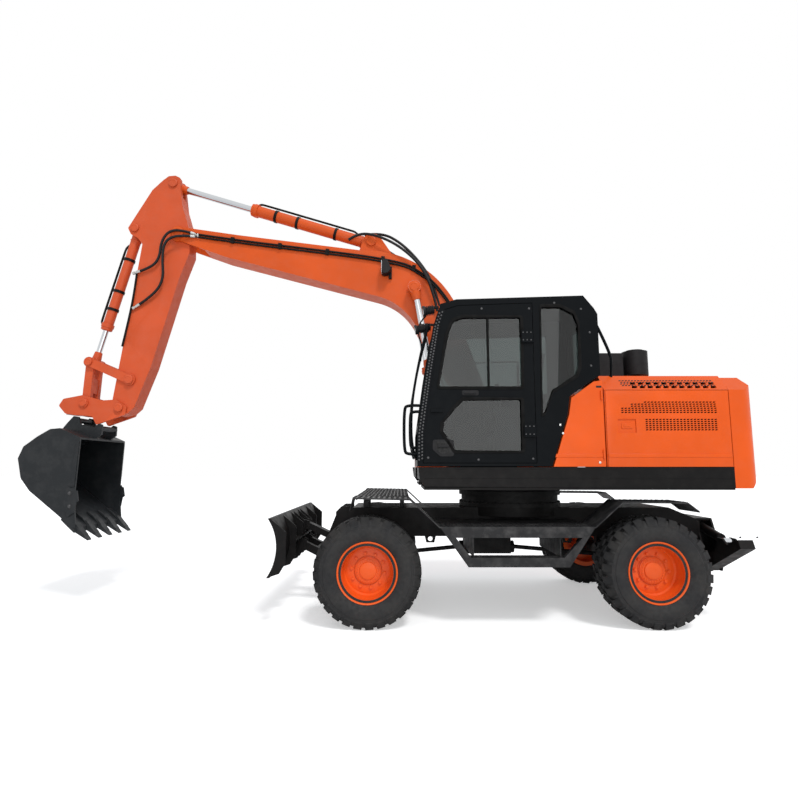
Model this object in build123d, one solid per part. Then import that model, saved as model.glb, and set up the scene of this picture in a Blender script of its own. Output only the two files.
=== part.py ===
from build123d import *
from math import atan2, cos, radians, sin, tan
import os

# Wheeled excavator, millimetres. While it is modelled, X is forward from the middle of the
# wheelbase, Y is to the machine's left and Z is up from the ground.

# Wheels and axles
wheelbase = 2850
overall_width = 2500
tyre_diameter = 1075
tyre_width = 410
lug_height = 26
lug_count = 18
shoulder = 22
tyre_bulge_radius = 405
wheel_sides = 36
lug_share = 0.58
rim_bead_radius = 257
rim_flange_radius = 301
rim_wall = 10
rim_half_width = 175
disc_thickness = 12
disc_fall = 20
hub_radius = 140
hub_face = 40
hub_inner_face = -150
hub_cap_radius = 83
hub_cap_height = 12
nut_circle_radius = 168
nut_count = 10
nut_radius = 17
nut_height = 20
spindle_radius = 55
axle_tube_radius = 78
differential_radius = 165
kingpin_y = 800
kingpin_radius = 30
knuckle_half_height = 92
steering_arm_length = 220
tie_rod_radius = 16
tie_rod_z = -52
shaft_radius = 24

# Chassis
chassis_half_width = 430
chassis_top = 1110
chassis_bottom = 790
chassis_front = 1700
trunnion_z = 690
trunnion_radius = 60
tie_down_radius = 27
chassis_rear = -2270
step_outer = overall_width / 2
fender_inner = 850
plate = 12
step_bar = 60
deck_top = 985

# Turntable and upper frame
swing_x = -220
ring_radius = 600
ring_bore = 430
ring_top = 1295
deck_bottom = 1340
deck_plate = 25
skirt_bottom = 1360
skirt_top = 1565
skirt_wall = 50
upper_half_width = 1200
upper_front = 920
counterweight_front = -2248
counterweight_rear = -2530
counterweight_top = 2500
counterweight_corner = 160

# Hood and doors
hood_front = -980
hood_side_top = 2350
hood_top = 2520
hood_chamfer = 160
door_thickness = 40
door_gap = 6
panel = 30

# Cab
cab_inner = 320
cab_wall = 45
glass_thickness = 6
cab_floor = 1570

# Boom, arm and bucket pivots, each as X and Z
boom_foot = (-50, 1850)
boom_cylinder_base = (470, 1400)
boom_cylinder_eye = (925, 3765)
arm_cylinder_base = (1467, 4420)
arm_pivot = (3925, 4510)
arm_cylinder_eye = (4032, 5208)
bucket_cylinder_base = (4490, 4600)
rocker_pivot = (4429, 2635)
rocker_eye = (4940, 2855)
bucket_pivot = (4528, 2285)
link_eye = (4960, 2345)
boom_half_width = 150
arm_half_width = 113
fork_gap = 5
boom_cylinder_y = 245
bucket_half_width = 500
bucket_wall = 22
tooth_count = 5
pin_radius = 40
pin_gap = 0.5
pipe_run_height = 24

# Blade and outriggers
blade_half_width = 1225
blade_front = 2410
blade_top = 1062
blade_bottom = 492
blade_thickness = 30
blade_arm_pivot = (1775, 465)
blade_arm_eye = (2228, 675)
blade_link_rise = 210
blade_arm_y = 205
blade_cylinder_base = (1790, 1060)
blade_cylinder_eye = (1960, 640)
outrigger_x = -2380
outrigger_width = 150
outrigger_pivot = (420, 500)
outrigger_foot = (1090, 795)
outrigger_cylinder_base = (215, 905)
outrigger_cylinder_eye = (755, 775)

tyre_radius = tyre_diameter / 2
wheel_y = (overall_width - tyre_width) / 2
front_x = wheelbase / 2
rear_x = -wheelbase / 2
axle_z = tyre_radius


def side(points, corner=0):
    """A closed outline in the X and Z plane, with its corners rounded as far as they allow."""
    if not corner:
        return make_face(Polyline(*points, close=True))
    places = [Vector(*point) for point in points]
    edges = []
    last = None
    first = None
    for number, place in enumerate(places):
        before = (places[number - 1] - place)
        after = (places[(number + 1) % len(places)] - place)
        half_turn = radians(before.get_angle(after)) / 2
        reach = min(corner / tan(half_turn), before.length * 0.45, after.length * 0.45)
        radius = reach * tan(half_turn)
        inward = (before.normalized() + after.normalized()).normalized()
        start = place + before.normalized() * reach
        end = place + after.normalized() * reach
        crown = place + inward * (radius / sin(half_turn) - radius)
        if last is None:
            first = start
        else:
            edges.append(Line(last, start))
        edges.append(ThreePointArc(start, crown, end))
        last = end
    edges.append(Line(last, first))
    return make_face(edges)


def slab(face, y_low, y_high):
    """A side outline filled from y_low to y_high."""
    upright = Plane(origin=(0, y_high, 0), x_dir=(1, 0, 0), z_dir=(0, -1, 0))
    return extrude(upright * face, y_high - y_low)


def cross_section(points, corner=0):
    """A closed outline in the Y and Z plane."""
    return side(points, corner)


def across(face, x_low, x_high):
    """A front view outline filled from x_low to x_high."""
    upright = Plane(origin=(x_low, 0, 0), x_dir=(0, 1, 0), z_dir=(1, 0, 0))
    return extrude(upright * face, x_high - x_low)


def block(x_low, x_high, y_low, y_high, z_low, z_high):
    """A box between six limits."""
    size = (x_high - x_low, y_high - y_low, z_high - z_low)
    return Pos(x_low, y_low, z_low) * Box(*size, align=(Align.MIN, Align.MIN, Align.MIN))


def bar(start, end, radius):
    """A round bar between two points."""
    axis = Vector(*end) - Vector(*start)
    cylinder = Cylinder(radius, axis.length, align=(Align.CENTER, Align.CENTER, Align.MIN))
    return Plane(origin=start, z_dir=axis) * cylinder


def pin(place, y_low, y_high, radius):
    """A round pin across the machine at an X and Z place."""
    return bar((place[0], y_low, place[1]), (place[0], y_high, place[1]), radius)


def mirrored(shape):
    """The same shape on the machine's other side."""
    return mirror(shape, about=Plane.XZ)


def pair(shape):
    """A shape and its mirror image."""
    return shape + mirrored(shape)


def toward(place, other, distance):
    """The point at a distance from one X and Z place towards another."""
    angle = atan2(other[1] - place[1], other[0] - place[0])
    return (place[0] + distance * cos(angle), place[1] + distance * sin(angle))


def hydraulic(base, eye, across, bore, rod, barrel, closed, eye_width, eye_radius, pin_size, rod_eye=None):
    """A hydraulic cylinder at rest: the barrel turns on its base pin, and the rod slides in it."""
    wall = 10
    small = barrel < 600
    gland = 30 if small else 70
    head = 20 if small else 60
    seat = eye_radius + 12
    line = Vector(*eye) - Vector(*base)
    place = Plane(origin=base, x_dir=across, z_dir=line)
    rest = line.length
    low = (Align.CENTER, Align.CENTER, Align.MIN)
    boss = Rot(0, 90, 0) * Cylinder(eye_radius, eye_width)
    body = boss + Pos(0, 0, eye_radius * 0.6) * Cylinder(bore + wall, barrel - eye_radius * 0.6, align=low)
    body += Pos(0, 0, barrel - gland) * Cylinder(bore + wall + 4, gland, align=low)
    body -= Pos(0, 0, seat) * Cylinder(bore, barrel - gland - seat, align=low)
    body -= Pos(0, 0, barrel - gland) * Cylinder(rod + pin_gap, gland, align=low)
    body -= Rot(0, 90, 0) * Cylinder(pin_size + pin_gap, eye_width)
    piston = seat + 12 + rest - closed
    stem = Pos(0, 0, piston) * Cylinder(bore - pin_gap, head, align=low)
    stem += Pos(0, 0, piston) * Cylinder(rod, rest - piston - eye_radius * 0.5, align=low)
    stem += Pos(0, 0, rest) * Rot(0, 90, 0) * Cylinder(eye_radius, rod_eye or eye_width)
    return place * body, place * stem


def lug_band(y_low, y_high, phase):
    """One row of tread lugs, with the ring that carries them."""
    pitch = 360 / lug_count
    root = tyre_radius - lug_height
    corners = []
    for number in range(lug_count):
        start = phase + number * pitch
        for angle, radius in (
            (start, root),
            (start + pitch * 0.06, tyre_radius),
            (start + pitch * lug_share, tyre_radius),
            (start + pitch * (lug_share + 0.06), root),
        ):
            corners.append((radius * cos(radians(angle)), radius * sin(radians(angle))))
    return slab(side(corners), y_low, y_high)


def many_sided(sections):
    """A wheel form with flat sides, lofted straight through (y, radius) sections about the axle."""
    rings = []
    for y, radius in sections:
        rings.append(Plane(origin=(0, y, 0), x_dir=(1, 0, 0), z_dir=(0, -1, 0)) * RegularPolygon(radius, wheel_sides))
    return loft(rings, ruled=True)


def tyre(place):
    """A tyre on its rim, with two staggered rows of tread lugs round its crown."""
    root = tyre_radius - lug_height
    half = tyre_width / 2
    bead = rim_half_width - rim_wall
    body = many_sided([
        (-bead, rim_flange_radius), (-half, tyre_bulge_radius), (-half + shoulder, root),
        (half - shoulder, root), (half, tyre_bulge_radius), (bead, rim_flange_radius),
    ])
    lugs = lug_band(-half + shoulder, 0, 0) + lug_band(0, half - shoulder, 180 / lug_count)
    body += lugs - many_sided([(-half, root - shoulder), (half, root - shoulder)])
    body -= many_sided([(-half, rim_bead_radius), (half, rim_bead_radius)])
    return Pos(place[0], wheel_y, place[1]) * body


def rim(place):
    """A deep-dished rim with its disc, wheel nuts and planetary hub."""
    edge = rim_half_width
    bead = edge - rim_wall
    well = rim_bead_radius - rim_wall
    wheel = many_sided([(-edge, rim_flange_radius), (-bead, rim_flange_radius)])
    wheel += many_sided([(bead, rim_flange_radius), (edge, rim_flange_radius)])
    wheel += many_sided([(-bead, rim_bead_radius), (bead, rim_bead_radius)])
    wheel -= many_sided([(disc_thickness, well - disc_fall), (edge - 40, well), (edge, well + 12)])
    wheel -= many_sided([(-edge, well), (0, well)])
    wheel += pin((0, 0), hub_inner_face, hub_face, hub_radius)
    wheel += pin((0, 0), hub_face, hub_face + hub_cap_height, hub_cap_radius)
    wheel -= pin((0, 0), hub_inner_face, 20, spindle_radius + pin_gap)
    for number in range(nut_count):
        angle = radians(360 / nut_count * number)
        centre = (nut_circle_radius * cos(angle), nut_height, nut_circle_radius * sin(angle))
        nut = extrude(RegularPolygon(nut_radius, 6), nut_height)
        wheel += Plane(origin=centre, x_dir=(1, 0, 0), z_dir=(0, 1, 0)) * Pos(0, 0, disc_thickness - nut_height) * nut
    return Pos(place[0], wheel_y, place[1]) * wheel


def chassis_frame():
    """The welded box frame, with the blade's lugs ahead and the outrigger housing behind."""
    low = chassis_bottom
    half = chassis_half_width - 30
    outline = [
        (chassis_front - 60, chassis_top), (chassis_front, chassis_top - 60), (chassis_front, low),
        (-1900, low), (-1990, low - 90), (chassis_rear, low - 90), (chassis_rear, chassis_top - 130),
        (-1960, chassis_top),
    ]
    frame = slab(side(outline), -half, half)
    pedestal = Cylinder(ring_radius - 10, 100, align=(Align.CENTER, Align.CENTER, Align.MIN))
    frame += Pos(swing_x, 0, chassis_top - 90) * pedestal
    for x in (front_x - 175, front_x + 145):
        frame += block(x, x + 30, -110, 110, axle_z + 85, low)
    frame -= bar((front_x - 200, 0, trunnion_z), (front_x + 200, 0, trunnion_z), trunnion_radius)
    for y in (-300, 300):
        frame += block(rear_x - 70, rear_x + 70, y - 50, y + 50, axle_z + 70, low)
    frame -= pin((rear_x, axle_z), -360, 360, axle_tube_radius + 4)
    nose = chassis_front + 150
    cheek = side([
        (chassis_front - 20, chassis_top), (nose - 60, chassis_top), (nose, chassis_top - 60),
        (nose, blade_arm_pivot[1] - 60), (nose - 110, blade_arm_pivot[1] - 60), (chassis_front - 20, low - 40),
    ])
    for y in (-262, -160, -86, 74, 148, 250):
        frame += slab(cheek, y, y + plate)
    frame -= pin(blade_arm_pivot, -300, 300, pin_radius / 2 + pin_gap)
    housing_front = outrigger_x + outrigger_width / 2 + fork_gap + 20
    frame += block(housing_front - 20, chassis_rear + 10, -half, half, low - 250, chassis_top - 150)
    cheek = cross_section([(480, 425), (520, 560), (330, 985), (-330, 985), (-520, 560), (-480, 425)])
    for x in (housing_front - 20, outrigger_x - outrigger_width / 2 - fork_gap - 20):
        frame += across(cheek, x, x + 20)
    roof_rear = outrigger_x - outrigger_width / 2 - fork_gap - 20
    frame += block(roof_rear, housing_front, -330, 330, 965, 985)
    frame += block(roof_rear, housing_front, -300, 300, 425, 440)
    for end in (-1, 1):
        y, z = outrigger_pivot
        frame += bar((roof_rear - 15, end * y, z), (housing_front + 10, end * y, z), pin_radius)
        y, z = outrigger_cylinder_base
        frame += bar((roof_rear, end * y, z), (housing_front, end * y, z), 22)
    for end in (-1, 1):
        for x in (-790, 760):
            lug = side([(x - 70, low + 30), (x + 70, low + 30), (x + 45, low - 70), (x - 45, low - 70)])
            side_low, side_high = sorted((end * (half - 30), end * half))
            frame += slab(lug, side_low, side_high)
            frame -= pin((x, low - 30), side_low - 5, side_high + 5, tie_down_radius)
    return frame


def slewing_ring():
    """The toothed ring's housing on the chassis, with its two bolted flanges."""
    low = chassis_top + 10
    section = [
        (ring_bore, low), (ring_radius, low), (ring_radius, low + 40), (ring_radius - 28, low + 40),
        (ring_radius - 28, ring_top - 50), (ring_radius, ring_top - 50), (ring_radius, ring_top), (ring_bore, ring_top),
    ]
    face = Plane.XZ * make_face(Polyline(*section, close=True))
    return Pos(swing_x, 0, 0) * revolve(face, Axis.Z)


def axles():
    """Front steering axle and rigid rear axle."""
    front = pin((0, 0), -700, 700, axle_tube_radius)
    front += Rot(90, 0, 0) * Cylinder(differential_radius, 260)
    front += bar((-140, 0, 0), (140, 0, 0), differential_radius - 45)
    front += bar((-175, 0, trunnion_z - axle_z), (175, 0, trunnion_z - axle_z), trunnion_radius)
    for end in (-1, 1):
        y = end * kingpin_y
        web = sorted((end * 690, end * 720))
        arm = sorted((end * 700, end * 848))
        front += block(-45, 45, web[0], web[1], -knuckle_half_height - 34, knuckle_half_height + 34)
        for z in (knuckle_half_height + 6, -knuckle_half_height - 34):
            plate_arm = block(-60, 60, arm[0], arm[1], z, z + 28)
            front += plate_arm
        front -= bar((0, y, -200), (0, y, 200), kingpin_radius + pin_gap)
    ram_y = 250
    front += bar((-steering_arm_length, -ram_y, tie_rod_z), (-steering_arm_length, ram_y, tie_rod_z), 28)
    front += block(-steering_arm_length, -60, -60, 60, tie_rod_z - 20, tie_rod_z + 20)
    front -= bar((-steering_arm_length, -ram_y - 5, tie_rod_z), (-steering_arm_length, ram_y + 5, tie_rod_z),
                 tie_rod_radius + pin_gap)
    rear = pin((0, 0), -870, 870, axle_tube_radius + 4)
    rear += Rot(90, 0, 0) * Cylinder(differential_radius, 260)
    rear += bar((0, 0, 0), (190, 0, 0), differential_radius - 45)
    rear += pin((0, 0), -wheel_y - 15, wheel_y + 15, spindle_radius)
    rear += pin((0, 0), -890, 890, 120) - pin((0, 0), -850, 850, 121)
    return Pos(front_x, 0, axle_z) * front + Pos(rear_x, 0, axle_z) * rear


def drive_line():
    """Gearbox under the frame and the two drive shafts."""
    box_front = 330
    box_rear = -200
    box = block(box_rear, box_front, -150, 150, 560, chassis_bottom)
    box += bar((box_front, 0, 620), (box_front + 60, 0, 620), 70)
    box += bar((box_rear, 0, 620), (box_rear - 60, 0, 620), 70)
    shaft = bar((box_front + 60, 0, 620), (front_x - differential_radius, 0, axle_z), shaft_radius)
    shaft += bar((box_rear - 60, 0, 620), (rear_x + 190, 0, axle_z), shaft_radius)
    return box + shaft - axles()


def knuckle():
    """The left steering knuckle, with its kingpins, spindle and steering arm."""
    half = knuckle_half_height
    body = block(-60, 60, kingpin_y - 32, kingpin_y + 60, -half, half)
    body += bar((0, kingpin_y, -half - 34), (0, kingpin_y, half + 34), kingpin_radius)
    body += pin((0, 0), kingpin_y + 55, kingpin_y + 85, 92)
    body += pin((0, 0), kingpin_y + 80, wheel_y + 15, spindle_radius)
    body += block(-steering_arm_length - 25, -50, kingpin_y - 42, kingpin_y + 2, -half, -half + 18)
    return Pos(front_x, 0, axle_z) * body


def tie_rod():
    """The steering ram's through rod, with a ball housing over each steering arm."""
    x = front_x - steering_arm_length
    z = axle_z + tie_rod_z
    y = kingpin_y - 20
    rod = bar((x, -y, z), (x, y, z), tie_rod_radius)
    for end in (-1, 1):
        rod += bar((x, end * y, z - 9), (x, end * y, z + 24), 30)
    return rod


def side_steps():
    """Left and right steps: a flat bar frame, its deck and the two fenders."""
    fender_front = (1573, 1266)
    fender_back = (1006, 1254)
    knee_front = (713, deck_top)
    foot_front = (437, 600)
    foot_back = (-550, 600)
    knee_back = (-816, deck_top)
    rear_fender_front = (-1095, 1229)
    rear_fender_back = (-1732, 1223)
    flap = (-1844, 1136)
    outer = side([knee_front, foot_front, foot_back, knee_back])
    hole = side([(556, 880), (408, 690), (-499, 690), (-684, 880)])
    frame = slab(outer, step_outer - step_bar, step_outer) - slab(hole, step_outer - step_bar, step_outer)
    deck = block(knee_back[0], knee_front[0], chassis_half_width - 30, step_outer, deck_top - plate, deck_top)
    lower = block(foot_back[0], foot_front[0], step_outer - 160, step_outer, 678, 690)
    for x in (-480, 380):
        lower += block(x - 6, x + 6, chassis_half_width - 30, step_outer - step_bar, 690, 880)
        lower += block(x - 6, x + 6, step_outer - 160, step_outer - step_bar, 678, 700)
        lower += block(x - 6, x + 6, chassis_half_width - 30, step_outer - step_bar, 870, deck_top)

    def strip(line, y_low):
        """A bent plate that follows a side line, its thickness below the line."""
        low = [(x, z - plate * 1.2) for x, z in reversed(line)]
        return slab(side(list(line) + low), y_low, step_outer)

    front = strip([(1600, 1150), fender_front, fender_back, knee_front], fender_inner)
    rear = strip([knee_back, rear_fender_front, rear_fender_back, flap], fender_inner)
    return pair(frame + deck + lower + front + rear)


def dozer_blade():
    """The blade's curved sheet, cutting edge, ribs and lugs, with its hollow side forward."""
    sag = 90
    thick = blade_thickness
    low = blade_bottom
    middle = (low + blade_top) / 2
    face_edge = blade_front - thick
    sheet = make_face([
        ThreePointArc((blade_front, blade_top), (blade_front - sag, middle), (blade_front, low)),
        Line((blade_front, low), (face_edge, low)),
        ThreePointArc((face_edge, low), (face_edge - sag, middle), (face_edge, blade_top)),
        Line((face_edge, blade_top), (blade_front, blade_top)),
    ])
    hollow = make_face([
        ThreePointArc((blade_front, blade_top + 1), (blade_front - sag, middle), (blade_front, low - 1)),
        Line((blade_front, low - 1), (blade_front + 60, low - 1)),
        Line((blade_front + 60, low - 1), (blade_front + 60, blade_top + 1)),
        Line((blade_front + 60, blade_top + 1), (blade_front, blade_top + 1)),
    ])
    blade = slab(sheet, -blade_half_width, blade_half_width)
    back = blade_front - 185
    rib = side([(face_edge, low + 10), (back + 60, low + 40), (back, low + 140), (back, blade_top - 130), (face_edge, blade_top - 5)])
    for y in (-blade_half_width, -700, -280, -130, 118, 268, 688, blade_half_width - plate):
        blade += slab(rib, y, y + plate) - slab(hollow, y, y + plate)
    blade += block(back, face_edge - 40, -700, 700, middle - 10, middle + 10)
    eye_x, eye_z = blade_arm_eye
    ear = side([(face_edge - 60, low + 60), (eye_x - 45, eye_z - 50), (eye_x - 45, eye_z + 50), (face_edge - 60, eye_z + 120)], 8)
    link_ear = side([(x, z + blade_link_rise) for x, z in ((face_edge - 60, low + 90), (eye_x - 45, eye_z - 45), (eye_x - 45, eye_z + 45), (face_edge - 60, eye_z + 80))], 8)
    for end in (-1, 1):
        for y in (end * (blade_arm_y - 57), end * (blade_arm_y + 57)):
            blade += slab(ear, y - 7, y + 7)
        blade += slab(link_ear, end * 82 - 7, end * 82 + 7)
        blade += pin(blade_arm_eye, end * blade_arm_y - 70, end * blade_arm_y + 70, pin_radius / 2)
        low_y, high_y = sorted((end * 75, end * 95))
        blade += pin((eye_x, eye_z + blade_link_rise), low_y, high_y, pin_radius / 2)
    return blade


def blade_arms():
    """The two lower push arms, joined by a cross tube, with the lift cylinders' lugs."""
    arms = None
    for end in (-1, 1):
        y = end * blade_arm_y
        beam = pin(blade_arm_pivot, y - 45, y + 45, 52) + pin(blade_arm_eye, y - 45, y + 45, 52)
        beam += slab(limb(blade_arm_pivot, blade_arm_eye, 100, 80), y - 45, y + 45)
        beam -= pin(blade_arm_eye, y - 50, y + 50, pin_radius / 2 + pin_gap)
        beam -= pin(blade_arm_pivot, y - 50, y + 50, pin_radius / 2 + pin_gap)
        for offset in (-43, 31):
            ear = side([(1900, 540), (1915, 665), (1945, 690), (1990, 680), (2050, 600)])
            beam += slab(ear, y + offset, y + offset + plate)
        beam -= pin(blade_cylinder_eye, y - 31, y + 31, 66)
        arms = beam if arms is None else arms + beam
    arms += pin(toward(blade_arm_pivot, blade_arm_eye, 330), -blade_arm_y, blade_arm_y, 32)
    return arms


def limb(start, end, width_start, width_end):
    """A straight tapered side outline between two pivots."""
    angle = atan2(end[1] - start[1], end[0] - start[0])
    across_x, across_z = -sin(angle) / 2, cos(angle) / 2
    return side([
        (start[0] + across_x * width_start, start[1] + across_z * width_start),
        (start[0] - across_x * width_start, start[1] - across_z * width_start),
        (end[0] - across_x * width_end, end[1] - across_z * width_end),
        (end[0] + across_x * width_end, end[1] + across_z * width_end),
    ])


def blade_link():
    """The single upper link that keeps the blade upright."""
    start = (blade_arm_pivot[0], blade_arm_pivot[1] + blade_link_rise)
    end = (blade_arm_eye[0], blade_arm_eye[1] + blade_link_rise)
    link = slab(limb(start, end, 70, 70), -68, 68) + pin(start, -68, 68, 42) + pin(end, -68, 68, 42)
    return link - pin(start, -70, 70, pin_radius / 2 + pin_gap)


def blade_cylinders():
    """Both lift cylinders: barrels on the frame, rod eyes between the arms' ears."""
    base, eye = blade_cylinder_base, blade_cylinder_eye
    sides = []
    for y in (blade_arm_y, -blade_arm_y):
        sides.append(hydraulic((base[0], y, base[1]), (eye[0], y, eye[1]), (0, 1, 0), 32, 20, 384, 445, 56, 34, 20))
    return sides[0][0] + sides[1][0], sides[0][1] + sides[1][1]


def outrigger():
    """The left outrigger leg with its foot pad."""
    half = outrigger_width / 2
    pivot, foot, eye = outrigger_pivot, outrigger_foot, outrigger_cylinder_eye
    x_low, x_high = outrigger_x - half, outrigger_x + half
    leg = across(limb(pivot, foot, 150, 90), x_low, x_high)
    leg += bar((x_low, *pivot), (x_high, *pivot), 80)
    leg += across(side([toward(pivot, foot, 230), toward(pivot, foot, 560), (eye[0] + 45, eye[1] + 40), (eye[0] - 45, eye[1] + 42)]), x_low, x_low + 20)
    leg += across(side([toward(pivot, foot, 230), toward(pivot, foot, 560), (eye[0] + 45, eye[1] + 40), (eye[0] - 45, eye[1] + 42)]), x_high - 20, x_high)
    leg -= bar((x_low - 5, *pivot), (x_high + 5, *pivot), pin_radius + pin_gap)
    low, high = (1020, 680), (1200, 910)
    inner_low, inner_high = (996, 699), (1176, 929)
    pad = across(side([low, high, inner_high, inner_low]), outrigger_x - 150, outrigger_x + 150)
    gusset = side([(inner_low[0] + 30, inner_low[1] + 30), (inner_high[0] - 40, inner_high[1] - 50), foot, (foot[0] - 90, foot[1] - 60)])
    for x in (outrigger_x - 95, outrigger_x + 75):
        pad += across(gusset, x, x + 20)
    return leg + pad


def outrigger_cylinder():
    """The left outrigger's cylinder, barrel on the housing and rod eye between the leg's ears."""
    base, eye = outrigger_cylinder_base, outrigger_cylinder_eye
    return hydraulic((outrigger_x, *base), (outrigger_x, *eye), (1, 0, 0), 38, 24, 455, 530, 70, 40, 22)


def upper_frame():
    """The slewing deck: bearing drum, deck plate, side skirts and the boom's bracket."""
    drum = Cylinder(ring_radius - 20, deck_bottom - ring_top - 5, align=(Align.CENTER, Align.CENTER, Align.MIN))
    frame = Pos(swing_x, 0, ring_top + 5) * drum
    front = upper_front - 60
    frame += block(counterweight_front, front, -upper_half_width + 10, upper_half_width - 10, deck_bottom, deck_bottom + deck_plate)
    frame -= block(380, front + 5, -cab_inner, cab_inner, deck_bottom - 5, deck_bottom + deck_plate + 5)
    skirt = side([
        (upper_front, skirt_top), (upper_front - 15, 1440), (front, skirt_bottom + 12),
        (counterweight_front, skirt_bottom), (counterweight_front, skirt_top),
    ])
    wall = slab(skirt, upper_half_width - skirt_wall, upper_half_width)
    frame += pair(wall)
    for low, high in ((cab_inner, upper_half_width - 10), (-upper_half_width + 10, -cab_inner)):
        frame += block(front - 10, upper_front - 18, low, high, 1440, skirt_top)
        frame += block(hood_front - 20, upper_front - 60, low, low + 30, deck_bottom + deck_plate, skirt_top) if low > 0 else block(
            hood_front - 20, upper_front - 60, high - 30, high, deck_bottom + deck_plate, skirt_top)
    top = deck_bottom + deck_plate
    web = side([
        (-380, top), (-230, 1720), (-150, 1950), (50, 1950), (120, 1800), (330, 1580), (545, 1470), (545, 1345), (380, deck_bottom),
        (-380, deck_bottom),
    ])
    inner = boom_half_width + fork_gap
    for y_low, y_high in ((inner, inner + 20), (-inner - 20, -inner)):
        frame += slab(web, y_low, y_high)
    frame += pin(boom_foot, -inner - 55, inner + 55, pin_radius + 8)
    for end in (-1, 1):
        low, high = sorted((end * inner, end * (boom_cylinder_y + 62)))
        frame += pin(boom_cylinder_base, low, high, pin_radius)
    for x in (-380, 0):
        frame += block(x, x + 20, -inner, inner, top, 1560)
    return frame


def counterweight():
    """The cast counterweight, with rounded rear corners and chamfered shoulders."""
    front, rear, top, half = counterweight_front, counterweight_rear, counterweight_top, upper_half_width
    profile = side([
        (front, skirt_bottom - 5), (rear + 100, skirt_bottom - 5), (rear, 1460), (rear, 2340), (rear + 90, top), (front, top),
    ])
    body = slab(profile, -half, half)
    plan = Rectangle(front - rear, 2 * half)
    plan = fillet(plan.vertices().group_by(Axis.X)[0], counterweight_corner)
    column = extrude(Pos((front + rear) / 2, 0, skirt_bottom - 10) * plan, top)
    shoulder = side([
        (-half, skirt_bottom - 10), (half, skirt_bottom - 10), (half, hood_side_top), (half - hood_chamfer, top + 5),
        (-half + hood_chamfer, top + 5), (-half, hood_side_top),
    ])
    body = body & column & across(shoulder, rear - 10, front + 10)
    return body


cab_outline = [
    (929, 1575), (927, 1907), (895, 2140), (839, 2532), (756, 3012), (681, 3256), (515, 3305), (-807, 3345),
    (-912, 3213), (-949, 3147), (-949, 2500), (-870, 2456), (-628, 2283), (-600, 2098), (-425, 1575),
]
door_outline = [
    (-270, 1610), (868, 1610), (868, 1905), (838, 2140), (783, 2525), (705, 2990), (640, 3190), (500, 3235), (-270, 3262),
]
door_upper_window = [(453, 3117), (-156, 3116), (-149, 2373), (714, 2374), (615, 2931), (558, 3077)]
door_lower_window = [(460, 2255), (-140, 2255), (-138, 1721), (553, 1722), (680, 1928), (671, 2013), (546, 2169)]
quarter_window = [
    (-357, 3230), (-564, 3230), (-704, 3157), (-746, 3042), (-742, 2593), (-707, 2498), (-459, 2340), (-373, 2106), (-341, 2091),
]
right_window = [(-640, 2420), (700, 2420), (600, 3080), (-640, 3120)]


def cab_windows():
    """The solids that cut every window of the fixed cab."""
    left, right = upper_half_width, cab_inner
    cut = slab(side(quarter_window, 20), left - 100, left + 50)
    cut += slab(side(right_window, 30), right - 50, right + 100)
    cut += block(560, 1000, right + 70, left - 70, 2020, 3180)
    cut += block(560, 1000, right + 70, left - 70, 1640, 1930)
    cut += block(-1000, -840, right + 90, left - 90, 2620, 3110)
    cut += block(-420, 260, right + 180, left - 180, 3200, 3400)
    return cut


def cab_shell():
    """The hollow cab, its window and door openings cut through full-thickness walls."""
    outer = slab(side(cab_outline), cab_inner, upper_half_width)
    inside = offset(side(cab_outline), -cab_wall)
    shell = outer - slab(inside, cab_inner + cab_wall, upper_half_width - cab_wall)
    shell -= cab_windows()
    opening = offset(side(door_outline), door_gap)
    shell -= slab(opening, upper_half_width - cab_wall - 5, upper_half_width + 5)
    return shell


def cab_glass():
    """Every fixed pane, seated in the middle of its wall."""
    inset = 18
    outline = side(cab_outline)
    near, far = cab_inner + inset, upper_half_width - inset
    skin = slab(offset(outline, -inset), near, far)
    skin -= slab(offset(outline, -inset - glass_thickness), near + glass_thickness, far - glass_thickness)
    return skin & cab_windows()


def cab_door():
    """The cab door with its two window openings, hinge blocks and handle."""
    inner = upper_half_width - cab_wall
    door = slab(side(door_outline), inner, upper_half_width)
    for window in (door_upper_window, door_lower_window):
        door -= slab(side(window, 25), inner - 5, upper_half_width + 5)
    for z in (1870, 2840):
        door += block(-262, -150, upper_half_width, upper_half_width + 26, z, z + 130)
        door += bar((-262, upper_half_width + 14, z), (-262, upper_half_width + 14, z + 130), 13)
    door += block(660, 790, upper_half_width, upper_half_width + 22, 2120, 2150)
    return door


def cab_door_glass():
    """The door's two panes."""
    low = upper_half_width - 24
    panes = slab(side(door_upper_window, 25), low, low + glass_thickness)
    return panes + slab(side(door_lower_window, 25), low, low + glass_thickness)


def operator_seat():
    """Seat, side consoles, joysticks and steering column on the cab floor."""
    floor = cab_outline[0][1] + cab_wall
    middle = (cab_inner + upper_half_width) / 2
    seat = block(-330, 60, middle - 200, middle + 200, floor, floor + 330)
    seat += block(-360, 110, middle - 240, middle + 240, floor + 330, floor + 450)
    back = side([(-330, floor + 400), (-250, floor + 400), (-370, floor + 1150), (-450, floor + 1150)])
    seat += slab(back, middle - 230, middle + 230)
    for end in (-1, 1):
        low, high = sorted((middle + end * 245, middle + end * 345))
        seat += block(-380, 120, low, high, floor, floor + 560)
        y = (low + high) / 2
        seat += bar((60, y, floor + 555), (80, y, floor + 720), 16)
        seat += bar((78, y, floor + 715), (88, y, floor + 810), 26)
    column = bar((640, middle, floor - 2), (520, middle, floor + 700), 34)
    rim_place = Plane(origin=(520, middle, floor + 690), z_dir=(-120, 0, 700))
    wheel = rim_place * (Cylinder(180, 26) - Cylinder(155, 28)) + rim_place * Box(330, 40, 16)
    return seat + column + wheel


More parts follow.
